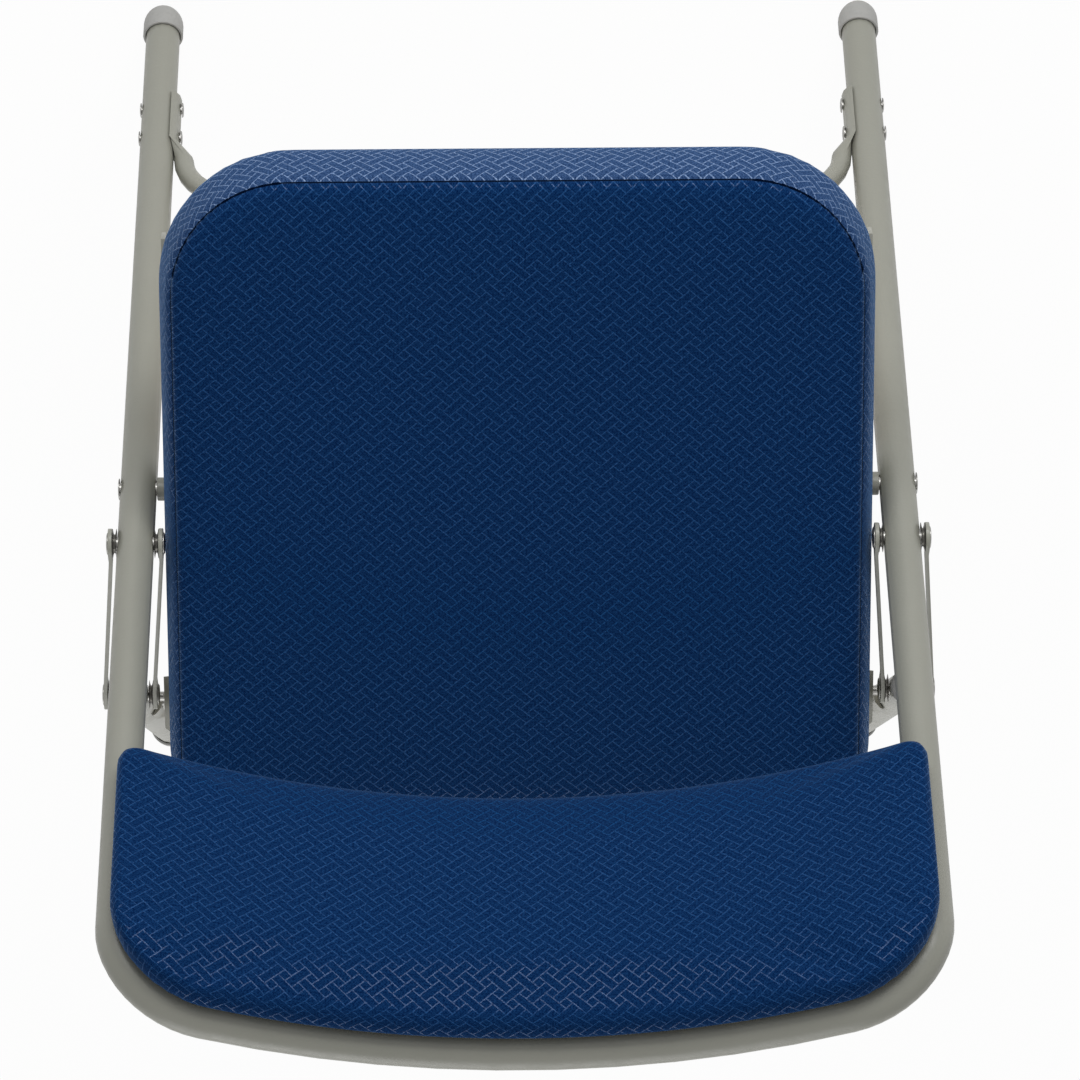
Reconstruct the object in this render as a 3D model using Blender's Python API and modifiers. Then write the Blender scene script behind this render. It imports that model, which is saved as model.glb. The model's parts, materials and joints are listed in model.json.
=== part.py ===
"""A padded folding chair: a bent tube frame, a hinged seat and rear legs on double hinge bars.

Metres, +Z up. The sitter faces -Y. The origin lies on the floor, in the middle of the chair.
"""
import math

import bmesh
import bpy
from mathutils import Matrix, Vector

# Front frame: one tube from foot to foot over the top of the back
FRAME_WIDTH = 0.476
TUBE_RADIUS = 0.011
TUBE_WALL = 0.0012
FRAME_LEAN = math.radians(24.0)
FRAME_LENGTH = 0.8131
CORNER_RADIUS = 0.0485
BACK_BOW = 0.0511

# Rear legs: their lean, and how far they stand outside the front ones
LEG_LEAN = math.radians(27.0)
LEG_SPLAY = 0.010
LEG_TOP = 0.016

# Pivots of the fold: drops from the seat's underside, then spacings along the tubes and to the rear
SEAT_PIVOT_DROP = 0.00974
BAR_PIVOT_SPACING = 0.045
LEG_PIVOT_DROP = 0.026
LEG_PIVOT_REACH = 0.14134
EAR_PIVOT_SPACING = 0.023

# Seat
SEAT_SIDE_GAP = 0.007
SEAT_DEPTH = 0.4052
SEAT_FRONT = 0.0432
SEAT_BOTTOM = 0.398
SEAT_FRONT_CORNER = 0.072
SEAT_REAR_CORNER = 0.045
SEAT_WAIST = 0.011
SEAT_SEAM_HEIGHT = 0.040
SEAT_CROWN = 0.010
SEAT_BOARD = 0.012
SEAT_MARGIN = 0.010

# Back pad: its height along the frame, and how far it laps the tube's axis
PAD_HEIGHT = 0.1647
PAD_SIDE_LAP = 0.0014
PAD_TOP_LAP = 0.0055
PAD_LOW_CORNER = 0.016
PAD_TOP_CORNER = 0.056
PAD_WAIST = 0.0085
PAD_SEAM_HEIGHT = 0.017
PAD_CROWN = 0.008
PAD_BOARD = 0.006
PAD_MARGIN = 0.009
PANEL_SHEET = 0.0012
PANEL_INSET = 0.004

# Soft forms: how far the base and the seam are drawn in from the fullest part of the side
BASE_TUCK = 0.001
SEAT_SEAM_TUCK = 0.0065
PAD_SEAM_TUCK = 0.005
SEAM_ROUND = 0.009
SHOULDER_RISE = 0.3

# Hinge bars and their flared spacers
BAR_THICKNESS = 0.0024
BAR_END_RADIUS = 0.009
BAR_WAIST = 0.0055
SPACER_LENGTH = 0.0022
SPACER_RADIUS = 0.0088
SPACER_NECK = 0.0058

# Seat rails: an angle under each side of the board, with an ear for the rear leg
RAIL_SHEET = 0.0024
RAIL_FLANGE = 0.030
RAIL_DROP = 0.024
RAIL_INSET = 0.0006
RAIL_FRONT = 0.055
RAIL_TAIL = 0.0193
EAR_RADIUS = 0.012
EAR_GAP = 0.0086
EAR_JOGGLE_RISE = 0.009
EAR_PLAY = 0.0045

# Braces: bent tubes with flattened, cupped and riveted ends
BRACE_RADIUS = 0.00635
BRACE_FLAT = 0.0032
BRACE_SPREAD = 1.45
BRACE_BEND = 0.034
BRACE_FLAT_LENGTH = 0.044
BRACE_FADE = 0.014
FRONT_BRACE_LOW = 0.075
UPPER_BRACE_DROP = 0.0545
LOWER_BRACE_TOP = 0.174
BRACE_RIVET_INSET = 0.0095
FRONT_RIVET_SPACING = 0.027

# Feet
CAP_WALL = 0.002
CAP_LENGTH = 0.0125
CAP_FLOOR = 0.002
PLUG_STEM = 0.008
PLUG_DOME = 0.0035

# Fasteners: shank radii, then head radii and heights
PIVOT_SHANK = 0.004
PIVOT_HEAD = 0.0065
EAR_SHANK = 0.003
EAR_HEAD = 0.0085
BRACE_SHANK = 0.0025
BRACE_HEAD = 0.0048
SCREW_SHANK = 0.002
SCREW_HEAD = 0.0042
HEAD_HEIGHT = 0.002
THIN_HEAD_HEIGHT = 0.001
EAR_HEAD_HEIGHT = 0.0014
SLEEVE_RADIUS = 0.007
SCREW_BITE = 0.004
BACK_SCREW_ACROSS = 0.150
BACK_SCREW_INSET = 0.038
SEAT_SCREW_INSET = 0.045
SEAT_SCREW_REACH = 0.020

CLEARANCE = 0.0003
TUBE_ROUNDING = 6
BRACE_ROUNDING = 4
TURN_STEPS = 12
HOLE_SIDES = 12
CORNER_STEPS = 7
FRAME_BEND_STEPS = 12
BACK_BENDS = 15

# Sizes that follow from those above
TUBE_X = FRAME_WIDTH / 2 - TUBE_RADIUS
LEG_X = TUBE_X + LEG_SPLAY
BOW_RADIUS = (TUBE_X ** 2 + BACK_BOW ** 2) / (2 * BACK_BOW)
SEAT_PIVOT_ALONG = (SEAT_BOTTOM - SEAT_PIVOT_DROP) / math.cos(FRAME_LEAN)
BAR_PIVOT_ALONG = SEAT_PIVOT_ALONG + BAR_PIVOT_SPACING
LEG_PIVOT_HEIGHT = SEAT_BOTTOM - LEG_PIVOT_DROP
LEG_PIVOT_BACK = SEAT_PIVOT_ALONG * math.sin(FRAME_LEAN) + LEG_PIVOT_REACH
REAR_FOOT_BACK = LEG_PIVOT_BACK + LEG_PIVOT_HEIGHT * math.tan(LEG_LEAN)
LEG_PIVOT_ALONG = LEG_PIVOT_HEIGHT / math.cos(LEG_LEAN)
EAR_PIVOT_ALONG = LEG_PIVOT_ALONG - EAR_PIVOT_SPACING
UPPER_BRACE_TOP = EAR_PIVOT_ALONG - UPPER_BRACE_DROP
CAP_RADIUS = TUBE_RADIUS + CAP_WALL
REAR_REACH = REAR_FOOT_BACK + CAP_RADIUS / math.cos(LEG_LEAN)
FRONT_FOOT_Y = (SEAT_FRONT - REAR_REACH) / 2
SEAT_FRONT_Y = FRONT_FOOT_Y - SEAT_FRONT
PAD_SEAT = (TUBE_RADIUS + CLEARANCE) * BOW_RADIUS / math.sqrt(BOW_RADIUS ** 2 - TUBE_X ** 2)
SEAT_HALF = TUBE_X - TUBE_RADIUS - SEAT_SIDE_GAP
RAIL_X = SEAT_HALF - RAIL_INSET
EAR_X = LEG_X - TUBE_RADIUS - EAR_GAP
PAD_TOP = FRAME_LENGTH + PAD_TOP_LAP
PAD_LOW = PAD_TOP - PAD_HEIGHT
SIDES = {"left": 1, "right": -1}

FINISHES = {
    "powder_coat": ((0.32, 0.32, 0.27), 0.42, 0.0),
    "plated_steel": ((0.55, 0.55, 0.53), 0.32, 1.0),
    "grey_plastic": ((0.36, 0.36, 0.35), 0.55, 0.0),
    "navy_fabric": ((0.004, 0.022, 0.075), 0.9, 0.0),
    "plywood": ((0.48, 0.33, 0.19), 0.7, 0.0),
}


def frame_point(x, along, behind=0.0):
    """A world point from its place across, along and behind the leaning front frame."""
    y = FRONT_FOOT_Y + along * math.sin(FRAME_LEAN) + behind * math.cos(FRAME_LEAN)
    z = along * math.cos(FRAME_LEAN) - behind * math.sin(FRAME_LEAN)
    return Vector((x, y, z))


def leg_point(x, along, behind=0.0):
    """A world point from its place across, along and behind the leaning rear legs."""
    y = FRONT_FOOT_Y + REAR_FOOT_BACK - along * math.sin(LEG_LEAN) + behind * math.cos(LEG_LEAN)
    z = along * math.cos(LEG_LEAN) + behind * math.sin(LEG_LEAN)
    return Vector((x, y, z))


def seat_point(x, back, up):
    """A world point from its place across, back from the seat's front edge and above its underside."""
    return Vector((x, SEAT_FRONT_Y + back, SEAT_BOTTOM + up))


def bow(x):
    """How far the bowed back lies behind the plane of the legs, at a place across it."""
    return math.sqrt(BOW_RADIUS ** 2 - x ** 2) - math.sqrt(BOW_RADIUS ** 2 - TUBE_X ** 2)


def back_point(x, along, forward):
    """A world point on the bowed back, forward from the plane that rests on the tubes."""
    return frame_point(x, along, bow(x) - PAD_SEAT - forward)


def clear_scene():
    for thing in list(bpy.data.objects):
        bpy.data.objects.remove(thing, do_unlink=True)


def new_collection(name):
    collection = bpy.data.collections.new(name)
    bpy.context.scene.collection.children.link(collection)
    return collection


def finish_material(name):
    colour, roughness, metallic = FINISHES[name]
    material = bpy.data.materials.new(name)
    material.use_nodes = True
    shader = material.node_tree.nodes["Principled BSDF"]
    shader.inputs["Base Color"].default_value = (*colour, 1.0)
    shader.inputs["Roughness"].default_value = roughness
    shader.inputs["Metallic"].default_value = metallic
    return material


clear_scene()
CHAIR = new_collection("padded_folding_chair")
CUTTERS = new_collection("chair_cutters")
MATERIALS = {name: finish_material(name) for name in FINISHES}

# The axes that the moving bodies turn on
SEAT_AXIS = frame_point(0.0, SEAT_PIVOT_ALONG)
BAR_AXIS = frame_point(0.0, BAR_PIVOT_ALONG)
LEG_AXIS = leg_point(0.0, LEG_PIVOT_ALONG)
EAR_AXIS = leg_point(0.0, EAR_PIVOT_ALONG)
RAIL_FRONT_Y = SEAT_FRONT_Y + RAIL_FRONT
RAIL_REAR_Y = EAR_AXIS.y + RAIL_TAIL


def pivot(name, place, parent=None):
    """An empty on a joint's axis, which carries the pieces of one moving body."""
    empty = bpy.data.objects.new(name, None)
    CHAIR.objects.link(empty)
    if parent:
        empty.parent = parent
        empty.location = place - parent.location
    else:
        empty.location = place
    return empty


FRAME = None
SEAT = pivot("seat_axis", SEAT_AXIS)
BARS = {side: pivot("hinge_axis_" + side, BAR_AXIS) for side in SIDES}
LEGS = pivot("leg_axis", LEG_AXIS, BARS["left"])
BODY_ORIGIN = {SEAT: SEAT_AXIS, LEGS: LEG_AXIS, BARS["left"]: BAR_AXIS, BARS["right"]: BAR_AXIS}


def piece(name, mesh, finish, body, matrix=None, smooth=True):
    """A named sub-part that rides on its body's axis, or stands still on the frame."""
    if not mesh.materials:
        mesh.materials.append(MATERIALS[finish])
    if smooth:
        mesh.shade_smooth()
        mesh.set_sharp_from_angle(angle=math.radians(40))
    thing = bpy.data.objects.new(name, mesh)
    CHAIR.objects.link(thing)
    if body:
        thing.parent = body
        thing.matrix_parent_inverse = Matrix.Translation(-BODY_ORIGIN[body])
    if matrix:
        thing.matrix_basis = matrix
    return thing


def mesh_from(work, name):
    """The finished mesh of a bmesh, with its faces turned outwards."""
    bmesh.ops.recalc_face_normals(work, faces=work.faces)
    closed = all(edge.is_manifold for edge in work.edges)
    if closed and work.calc_volume(signed=True) < 0:
        bmesh.ops.reverse_faces(work, faces=work.faces)
    mesh = bpy.data.meshes.new(name)
    work.to_mesh(mesh)
    work.free()
    return mesh


def tube_path(name, points, radius, rounding, capped):
    """The skin of a tube along points, from a bevelled curve, with end caps if it is capped."""
    curve = bpy.data.curves.new(name + "_path", "CURVE")
    curve.dimensions = "3D"
    curve.bevel_depth = radius
    curve.bevel_resolution = rounding
    curve.use_fill_caps = capped
    spline = curve.splines.new("POLY")
    spline.points.add(len(points) - 1)
    for spot, place in zip(spline.points, points):
        spot.co = (*place, 1.0)
    guide = bpy.data.objects.new(name + "_path", curve)
    CUTTERS.objects.link(guide)
    evaluated = guide.evaluated_get(bpy.context.evaluated_depsgraph_get())
    mesh = bpy.data.meshes.new_from_object(evaluated)
    work = bmesh.new()
    work.from_mesh(mesh)
    bpy.data.meshes.remove(mesh)
    work.transform(guide.matrix_world)
    bpy.data.objects.remove(guide, do_unlink=True)
    bmesh.ops.remove_doubles(work, verts=work.verts, dist=1e-6)
    return work


def round_cutter(name, holes):
    """Round cutters for one piece: each hole has its middle, its direction, clear radius and length."""
    work = bmesh.new()
    for middle, direction, radius, length in holes:
        turn = Vector((0, 0, 1)).rotation_difference(direction).to_matrix().to_4x4()
        corner = radius / math.cos(math.pi / HOLE_SIDES)
        bmesh.ops.create_cone(
            work, cap_ends=True, segments=HOLE_SIDES, radius1=corner, radius2=corner, depth=length,
            matrix=Matrix.Translation(middle) @ turn,
        )
    return cutter(name, mesh_from(work, name))


def cutter(name, mesh):
    thing = bpy.data.objects.new(name, mesh)
    CUTTERS.objects.link(thing)
    thing.hide_render = True
    thing.display_type = "WIRE"
    return thing


def combine(thing, other, operation):
    step = thing.modifiers.new(other.name, "BOOLEAN")
    step.operation = operation
    step.object = other
    step.solver = "EXACT"


def cross_holes(thing, places, reach):
    """Holes across a piece, along X. Each place is a point on the axis and the shank's radius."""
    holes = [(place, Vector((1, 0, 0)), shank + CLEARANCE, reach) for place, shank in places]
    combine(thing, round_cutter(thing.name + "_holes", holes), "DIFFERENCE")


def turned(name, profile, finish, body, matrix, closed=False):
    """A turned piece from a profile of radius and height, listed down its outer side."""
    work = bmesh.new()
    spots = [work.verts.new((radius, 0.0, height)) for radius, height in profile]
    for first, second in zip(spots, spots[1:]):
        work.edges.new((first, second))
    if closed:
        work.edges.new((spots[-1], spots[0]))
    mesh = bpy.data.meshes.new(name)
    work.to_mesh(mesh)
    work.free()
    thing = piece(name, mesh, finish, body, matrix, smooth=False)
    screw = thing.modifiers.new("turn", "SCREW")
    screw.steps = TURN_STEPS
    screw.render_steps = TURN_STEPS
    screw.use_merge_vertices = True
    screw.merge_threshold = 0.00001
    screw.use_smooth_shade = True
    return thing


def outward(side, place):
    """Turns a profile's height into the distance out from the chair's middle plane."""
    return Matrix.Translation(place) @ Matrix.Rotation(SIDES[side] * math.pi / 2, 4, "Y")


def rivet_profile(inner, outer, shank, inner_head, outer_head):
    """A rivet between two seats. Each head has its radius and height."""
    inner_radius, inner_height = inner_head
    outer_radius, outer_height = outer_head
    return [
        (0.0, outer + outer_height),
        (outer_radius * 0.62, outer + outer_height * 0.82),
        (outer_radius, outer),
        (shank, outer),
        (shank, inner),
        (inner_radius, inner),
        (inner_radius * 0.62, inner - inner_height * 0.82),
        (0.0, inner - inner_height),
    ]


def rounded_outline(half_width, low, high, low_radius, high_radius):
    """An outline that is wide in the first direction, with a radius at its low and its high corners."""
    points = []
    corners = (
        (1, low, 1, low_radius, -90), (1, high, -1, high_radius, 0),
        (-1, high, -1, high_radius, 90), (-1, low, 1, low_radius, 180),
    )
    for side, edge, inward, radius, start in corners:
        across = side * (half_width - radius)
        along = edge + inward * radius
        for step in range(CORNER_STEPS + 1):
            angle = math.radians(start + 90 * step / CORNER_STEPS)
            points.append((across + radius * math.cos(angle), along + radius * math.sin(angle)))
    return points


def cut_sheet(outline, across_cuts, along_cuts):
    """A flat face with an outline, cut into cells so that it can bend and swell."""
    work = bmesh.new()
    work.faces.new([work.verts.new((across, along, 0.0)) for across, along in outline])
    planes = [((1, 0, 0), (cut, 0, 0)) for cut in across_cuts]
    planes += [((0, 1, 0), (0, cut, 0)) for cut in along_cuts]
    for normal, place in planes:
        everything = work.verts[:] + work.edges[:] + work.faces[:]
        bmesh.ops.bisect_plane(work, geom=everything, plane_co=place, plane_no=normal)
    return work


def even_cuts(low, high, count):
    return [low + (high - low) * step / (count + 1) for step in range(1, count + 1)]


def push_out(work, faces, move):
    """Faces pushed out by a move, with walls round them. An open sheet becomes a slab."""
    grown = bmesh.ops.extrude_face_region(work, geom=faces)["geom"]
    spots = [spot for spot in grown if isinstance(spot, bmesh.types.BMVert)]
    bmesh.ops.translate(work, vec=move, verts=spots)


def placed_mesh(work, name, place):
    for spot in work.verts:
        spot.co = place(*spot.co)
    return mesh_from(work, name)


def slab_mesh(name, outline, across_cuts, low, high, place):
    """A board or sheet of even thickness that follows the surface it is placed on."""
    work = cut_sheet(outline, across_cuts, [])
    bmesh.ops.translate(work, vec=(0, 0, low), verts=work.verts)
    push_out(work, work.faces[:], (0, 0, high - low))
    return placed_mesh(work, name, place)


def ring_edges(work, outline, height):
    """A closed ring of edges round a cushion, at a height above its base."""
    spots = [work.verts.new((across, along, height)) for across, along in outline]
    return [work.edges.new(pair) for pair in zip(spots, spots[1:] + spots[:1])]


def cushion_mesh(name, inset, across_cuts, rows, waist, seam_height, seam_tuck, crown, place):
    """A boxed cushion: sides fullest at the waist and drawn in at the seam, under a crowned top."""
    shoulder = seam_tuck + SEAM_ROUND
    rise = crown * SHOULDER_RISE
    levels = (
        (BASE_TUCK, 0.0), (0.0, waist), (seam_tuck, seam_height), (shoulder, seam_height + rise),
    )
    work = bmesh.new()
    rings = [ring_edges(work, inset(gap), height) for gap, height in levels]
    for lower, upper in zip(rings, rings[1:]):
        bmesh.ops.bridge_loops(work, edges=lower + upper)
    bmesh.ops.edgeloop_fill(work, edges=rings[0])
    bmesh.ops.edgeloop_fill(work, edges=rings[-1])
    outline = inset(shoulder)
    half = max(across for across, _ in outline)
    low = min(along for _, along in outline)
    high = max(along for _, along in outline)
    for cut in across_cuts:
        everything = work.verts[:] + work.edges[:] + work.faces[:]
        bmesh.ops.bisect_plane(work, geom=everything, plane_co=(cut, 0, 0), plane_no=(1, 0, 0))
    for cut in even_cuts(low, high, rows):
        top = [face for face in work.faces if face.calc_center_median().z > seam_height + rise * 0.99]
        edges = {edge for face in top for edge in face.edges}
        spots = {spot for face in top for spot in face.verts}
        geometry = [*spots, *edges, *top]
        bmesh.ops.bisect_plane(work, geom=geometry, plane_co=(0, cut, 0), plane_no=(0, 1, 0))
    middle = (low + high) / 2
    reach = (high - low) / 2
    for spot in work.verts:
        if spot.co.z > seam_height + rise * 0.99:
            across = min(abs(spot.co.x) / half, 1.0)
            along = min(abs(spot.co.y - middle) / reach, 1.0)
            spot.co.z += (crown - rise) * (1 - across ** 2) * (1 - along ** 2)
    return placed_mesh(work, name, place)


def build_front_frame():
    low = (CAP_FLOOR + TUBE_RADIUS * math.sin(FRAME_LEAN)) / math.cos(FRAME_LEAN) + CLEARANCE
    bend = FRAME_LENGTH - CORNER_RADIUS
    arc = [math.radians(90 * step / FRAME_BEND_STEPS) for step in range(FRAME_BEND_STEPS + 1)]
    inner = TUBE_X - CORNER_RADIUS
    half = [(TUBE_X, low)]
    half += [(inner + CORNER_RADIUS * math.cos(a), bend + CORNER_RADIUS * math.sin(a)) for a in arc]
    half += [(inner * part / 11, FRAME_LENGTH) for part in (9, 7, 5, 3, 1)]
    path = half + [(-across, along) for across, along in reversed(half)]
    points = [frame_point(across, along, bow(across)) for across, along in path]
    name = "front_frame_tube"
    mesh = mesh_from(tube_path(name, points, TUBE_RADIUS, TUBE_ROUNDING, False), name)
    tube = piece(name, mesh, "powder_coat", FRAME)
    wall = tube.modifiers.new("wall", "SOLIDIFY")
    wall.thickness = TUBE_WALL
    wall.offset = -1.0
    places = [(SEAT_AXIS, PIVOT_SHANK), (BAR_AXIS, PIVOT_SHANK)]
    places += [(frame_point(0.0, along), BRACE_SHANK) for along in front_rivets()]
    cross_holes(tube, places, FRAME_WIDTH * 1.2)


def front_rivets():
    first = FRONT_BRACE_LOW + BRACE_RIVET_INSET
    return (first, first + FRONT_RIVET_SPACING)


def rear_rivet(top):
    return top - BRACE_RIVET_INSET


def foot_cap(name, x, lean, point, body):
    """A moulded cap on a leaning tube, cut level at the floor and square at its rim."""
    axis = (point(x, 1.0) - point(x, 0.0)).normalized()
    turn = Vector((0, 0, 1)).rotation_difference(axis).to_matrix().to_4x4()
    work = bmesh.new()
    bmesh.ops.create_cone(
        work, cap_ends=True, segments=18, radius1=CAP_RADIUS, radius2=CAP_RADIUS, depth=6 * CAP_LENGTH,
        matrix=Matrix.Translation(point(x, 0.0)) @ turn,
    )
    for place, way in ((Vector((0, 0, 0)), Vector((0, 0, -1))), (point(x, CAP_LENGTH), axis)):
        everything = work.verts[:] + work.edges[:] + work.faces[:]
        cut = bmesh.ops.bisect_plane(
            work, geom=everything, plane_co=place, plane_no=way, clear_outer=True,
        )
        rim = [edge for edge in cut["geom_cut"] if isinstance(edge, bmesh.types.BMEdge)]
        bmesh.ops.edgeloop_fill(work, edges=rim)
    cap = piece(name, mesh_from(work, name), "grey_plastic", body)
    start = (CAP_FLOOR + TUBE_RADIUS * math.sin(lean)) / math.cos(lean)
    length = 4 * CAP_LENGTH
    socket = (point(x, start + length / 2), axis, TUBE_RADIUS + CLEARANCE, length)
    combine(cap, round_cutter(name + "_socket", [socket]), "DIFFERENCE")


def brace(name, x, end, way, point, body, rivets):
    """A bent cross tube. Its flattened ends are cupped round the inner sides of two tubes."""
    hug = TUBE_RADIUS + CLEARANCE
    face = x - hug
    axis = face - BRACE_RADIUS
    straight = BRACE_FLAT_LENGTH + BRACE_FADE
    arc = [math.radians(90 * step / CORNER_STEPS) for step in range(CORNER_STEPS + 1)]
    half = [(axis, 0.0), (axis, BRACE_FLAT_LENGTH)]
    half += [(axis - BRACE_BEND * (1 - math.cos(a)), straight + BRACE_BEND * math.sin(a)) for a in arc]
    path = half + [(-across, along) for across, along in reversed(half)]
    points = [(across, along, 0.0) for across, along in path]
    work = tube_path(name, points, BRACE_RADIUS, BRACE_ROUNDING, True)
    for spot in work.verts:
        flat = max(0.0, min(1.0, (straight - spot.co.y) / BRACE_FADE))
        squeeze = 1 - flat * (1 - BRACE_FLAT / (2 * BRACE_RADIUS))
        side = math.copysign(1, spot.co.x)
        spot.co.z *= 1 + flat * (BRACE_SPREAD - 1)
        cup = hug - math.sqrt(hug ** 2 - spot.co.z ** 2)
        spot.co.x = side * (face - (face - abs(spot.co.x)) * squeeze + cup * flat)
    mesh = placed_mesh(work, name, lambda across, along, behind: point(across, end + way * along, behind))
    tube = piece(name, mesh, "powder_coat", body)
    cross_holes(tube, [(point(0.0, along), BRACE_SHANK) for along in rivets], FRAME_WIDTH * 1.2)


def brace_rivets(stem, x, point, body, rivets):
    inner = x - TUBE_RADIUS - BRACE_FLAT - 2 * CLEARANCE
    outer = x + TUBE_RADIUS + CLEARANCE
    head = (BRACE_HEAD, THIN_HEAD_HEIGHT)
    profile = rivet_profile(inner, outer, BRACE_SHANK, head, head)
    for side in SIDES:
        for number, along in enumerate(rivets, 1):
            name = "%s_%s_%d" % (stem, side, number)
            turned(name, profile, "plated_steel", body, outward(side, point(0.0, along)))


def build_back():
    """The steel back sheet, the pad's board and the bowed pad, with the screws that hold them."""
    half = TUBE_X + PAD_SIDE_LAP
    bends = even_cuts(-half, half, BACK_BENDS)

    def inset(gap):
        return rounded_outline(
            half - gap, PAD_LOW + gap, PAD_TOP - gap, PAD_LOW_CORNER - gap, PAD_TOP_CORNER - gap,
        )

    board_low = PANEL_SHEET + CLEARANCE
    board_high = board_low + PAD_BOARD
    sheet = slab_mesh("back_panel", inset(PANEL_INSET), bends, 0.0, PANEL_SHEET, back_point)
    panel = piece("back_panel", sheet, "powder_coat", FRAME)
    board = piece(
        "back_board", slab_mesh("back_board", inset(PAD_MARGIN), bends, board_low, board_high, back_point),
        "plywood", FRAME,
    )
    pad = cushion_mesh(
        "back_cushion", inset, bends, 5, PAD_WAIST, PAD_SEAM_HEIGHT, PAD_SEAM_TUCK, PAD_CROWN,
        lambda across, along, up: back_point(across, along, up + board_low),
    )
    cushion = piece("back_cushion", pad, "navy_fabric", FRAME)
    pocket = slab_mesh(
        "back_pocket", inset(PAD_MARGIN - CLEARANCE), bends, -SCREW_BITE, board_high + CLEARANCE, back_point,
    )
    combine(cushion, cutter("back_pocket", pocket), "DIFFERENCE")
    forward = (back_point(0, 0, 1) - back_point(0, 0, 0)).normalized()
    rows = (PAD_LOW + BACK_SCREW_INSET, PAD_TOP - BACK_SCREW_INSET)
    places = [(side, row, along) for side in SIDES for row, along in enumerate(rows, 1)]
    turn = Vector((0, 0, 1)).rotation_difference(-forward).to_matrix().to_4x4()
    bite = board_low + SCREW_BITE
    profile = [
        (0.0, HEAD_HEIGHT), (SCREW_HEAD * 0.62, HEAD_HEIGHT * 0.82), (SCREW_HEAD, 0.0), (SCREW_SHANK, 0.0),
        (SCREW_SHANK, -bite), (0.0, -bite),
    ]
    holes = []
    for side, row, along in places:
        spot = back_point(SIDES[side] * BACK_SCREW_ACROSS, along, 0.0)
        rise = bow(BACK_SCREW_ACROSS) - bow(BACK_SCREW_ACROSS + SCREW_HEAD)
        seat = spot - forward * (rise + CLEARANCE)
        name = "back_screw_%s_%d" % (side, row)
        turned(name, profile, "plated_steel", FRAME, Matrix.Translation(seat) @ turn)
        holes.append((seat + forward * bite / 2, forward, SCREW_SHANK + CLEARANCE, bite + 2 * CLEARANCE))
    combine(panel, round_cutter("back_panel_holes", holes), "DIFFERENCE")
    combine(board, round_cutter("back_board_holes", holes), "DIFFERENCE")


def build_seat():
    """The seat's plywood board and the boxed cushion that wraps its edge."""

    def inset(gap):
        return rounded_outline(
            SEAT_HALF - gap, gap, SEAT_DEPTH - gap, SEAT_FRONT_CORNER - gap, SEAT_REAR_CORNER - gap,
        )

    board = piece(
        "seat_board", slab_mesh("seat_board", inset(SEAT_MARGIN), [], 0.0, SEAT_BOARD, seat_point),
        "plywood", SEAT,
    )
    mesh = cushion_mesh(
        "seat_cushion", inset, even_cuts(-SEAT_HALF, SEAT_HALF, 11), 11, SEAT_WAIST, SEAT_SEAM_HEIGHT,
        SEAT_SEAM_TUCK, SEAT_CROWN, seat_point,
    )
    cushion = piece("seat_cushion", mesh, "navy_fabric", SEAT)
    pocket = slab_mesh(
        "seat_pocket", inset(SEAT_MARGIN - CLEARANCE), [], -SEAT_BOARD, SEAT_BOARD + CLEARANCE, seat_point,
    )
    combine(cushion, cutter("seat_pocket", pocket), "DIFFERENCE")
    holes = [
        (seat_screw_place(side, row) + Vector((0, 0, SCREW_BITE / 2)), Vector((0, 0, 1)),
         SCREW_SHANK + CLEARANCE, 2 * SCREW_BITE)
        for side in SIDES for row in (1, 2)
    ]
    combine(board, round_cutter("seat_board_holes", holes), "DIFFERENCE")


def seat_screw_place(side, row):
    """Where a screw enters the board's underside, through a rail's flange."""
    y = RAIL_FRONT_Y + SEAT_SCREW_INSET if row == 1 else RAIL_REAR_Y - SEAT_SCREW_INSET
    return Vector((SIDES[side] * (RAIL_X - SEAT_SCREW_REACH), y, SEAT_BOTTOM))


def rail_outline():
    """The rail's side view: a strip under the board, with an ear that drops to the rear leg's pivot."""
    top = SEAT_BOTTOM - CLEARANCE
    low = top - RAIL_DROP
    front = RAIL_FRONT_Y
    ear_y, ear_z = EAR_AXIS.y, EAR_AXIS.z
    points = [(front, top), (front, low + RAIL_DROP / 2), (front + RAIL_DROP / 2, low)]
    points += [(ear_y - 2 * EAR_RADIUS, low)]
    for step in range(CORNER_STEPS * 2 + 1):
        angle = math.pi * (1 + step / (2 * CORNER_STEPS))
        points.append((ear_y + EAR_RADIUS * math.cos(angle), ear_z + EAR_RADIUS * math.sin(angle)))
    points += [(RAIL_REAR_Y, low), (RAIL_REAR_Y, top)]
    return points


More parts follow.
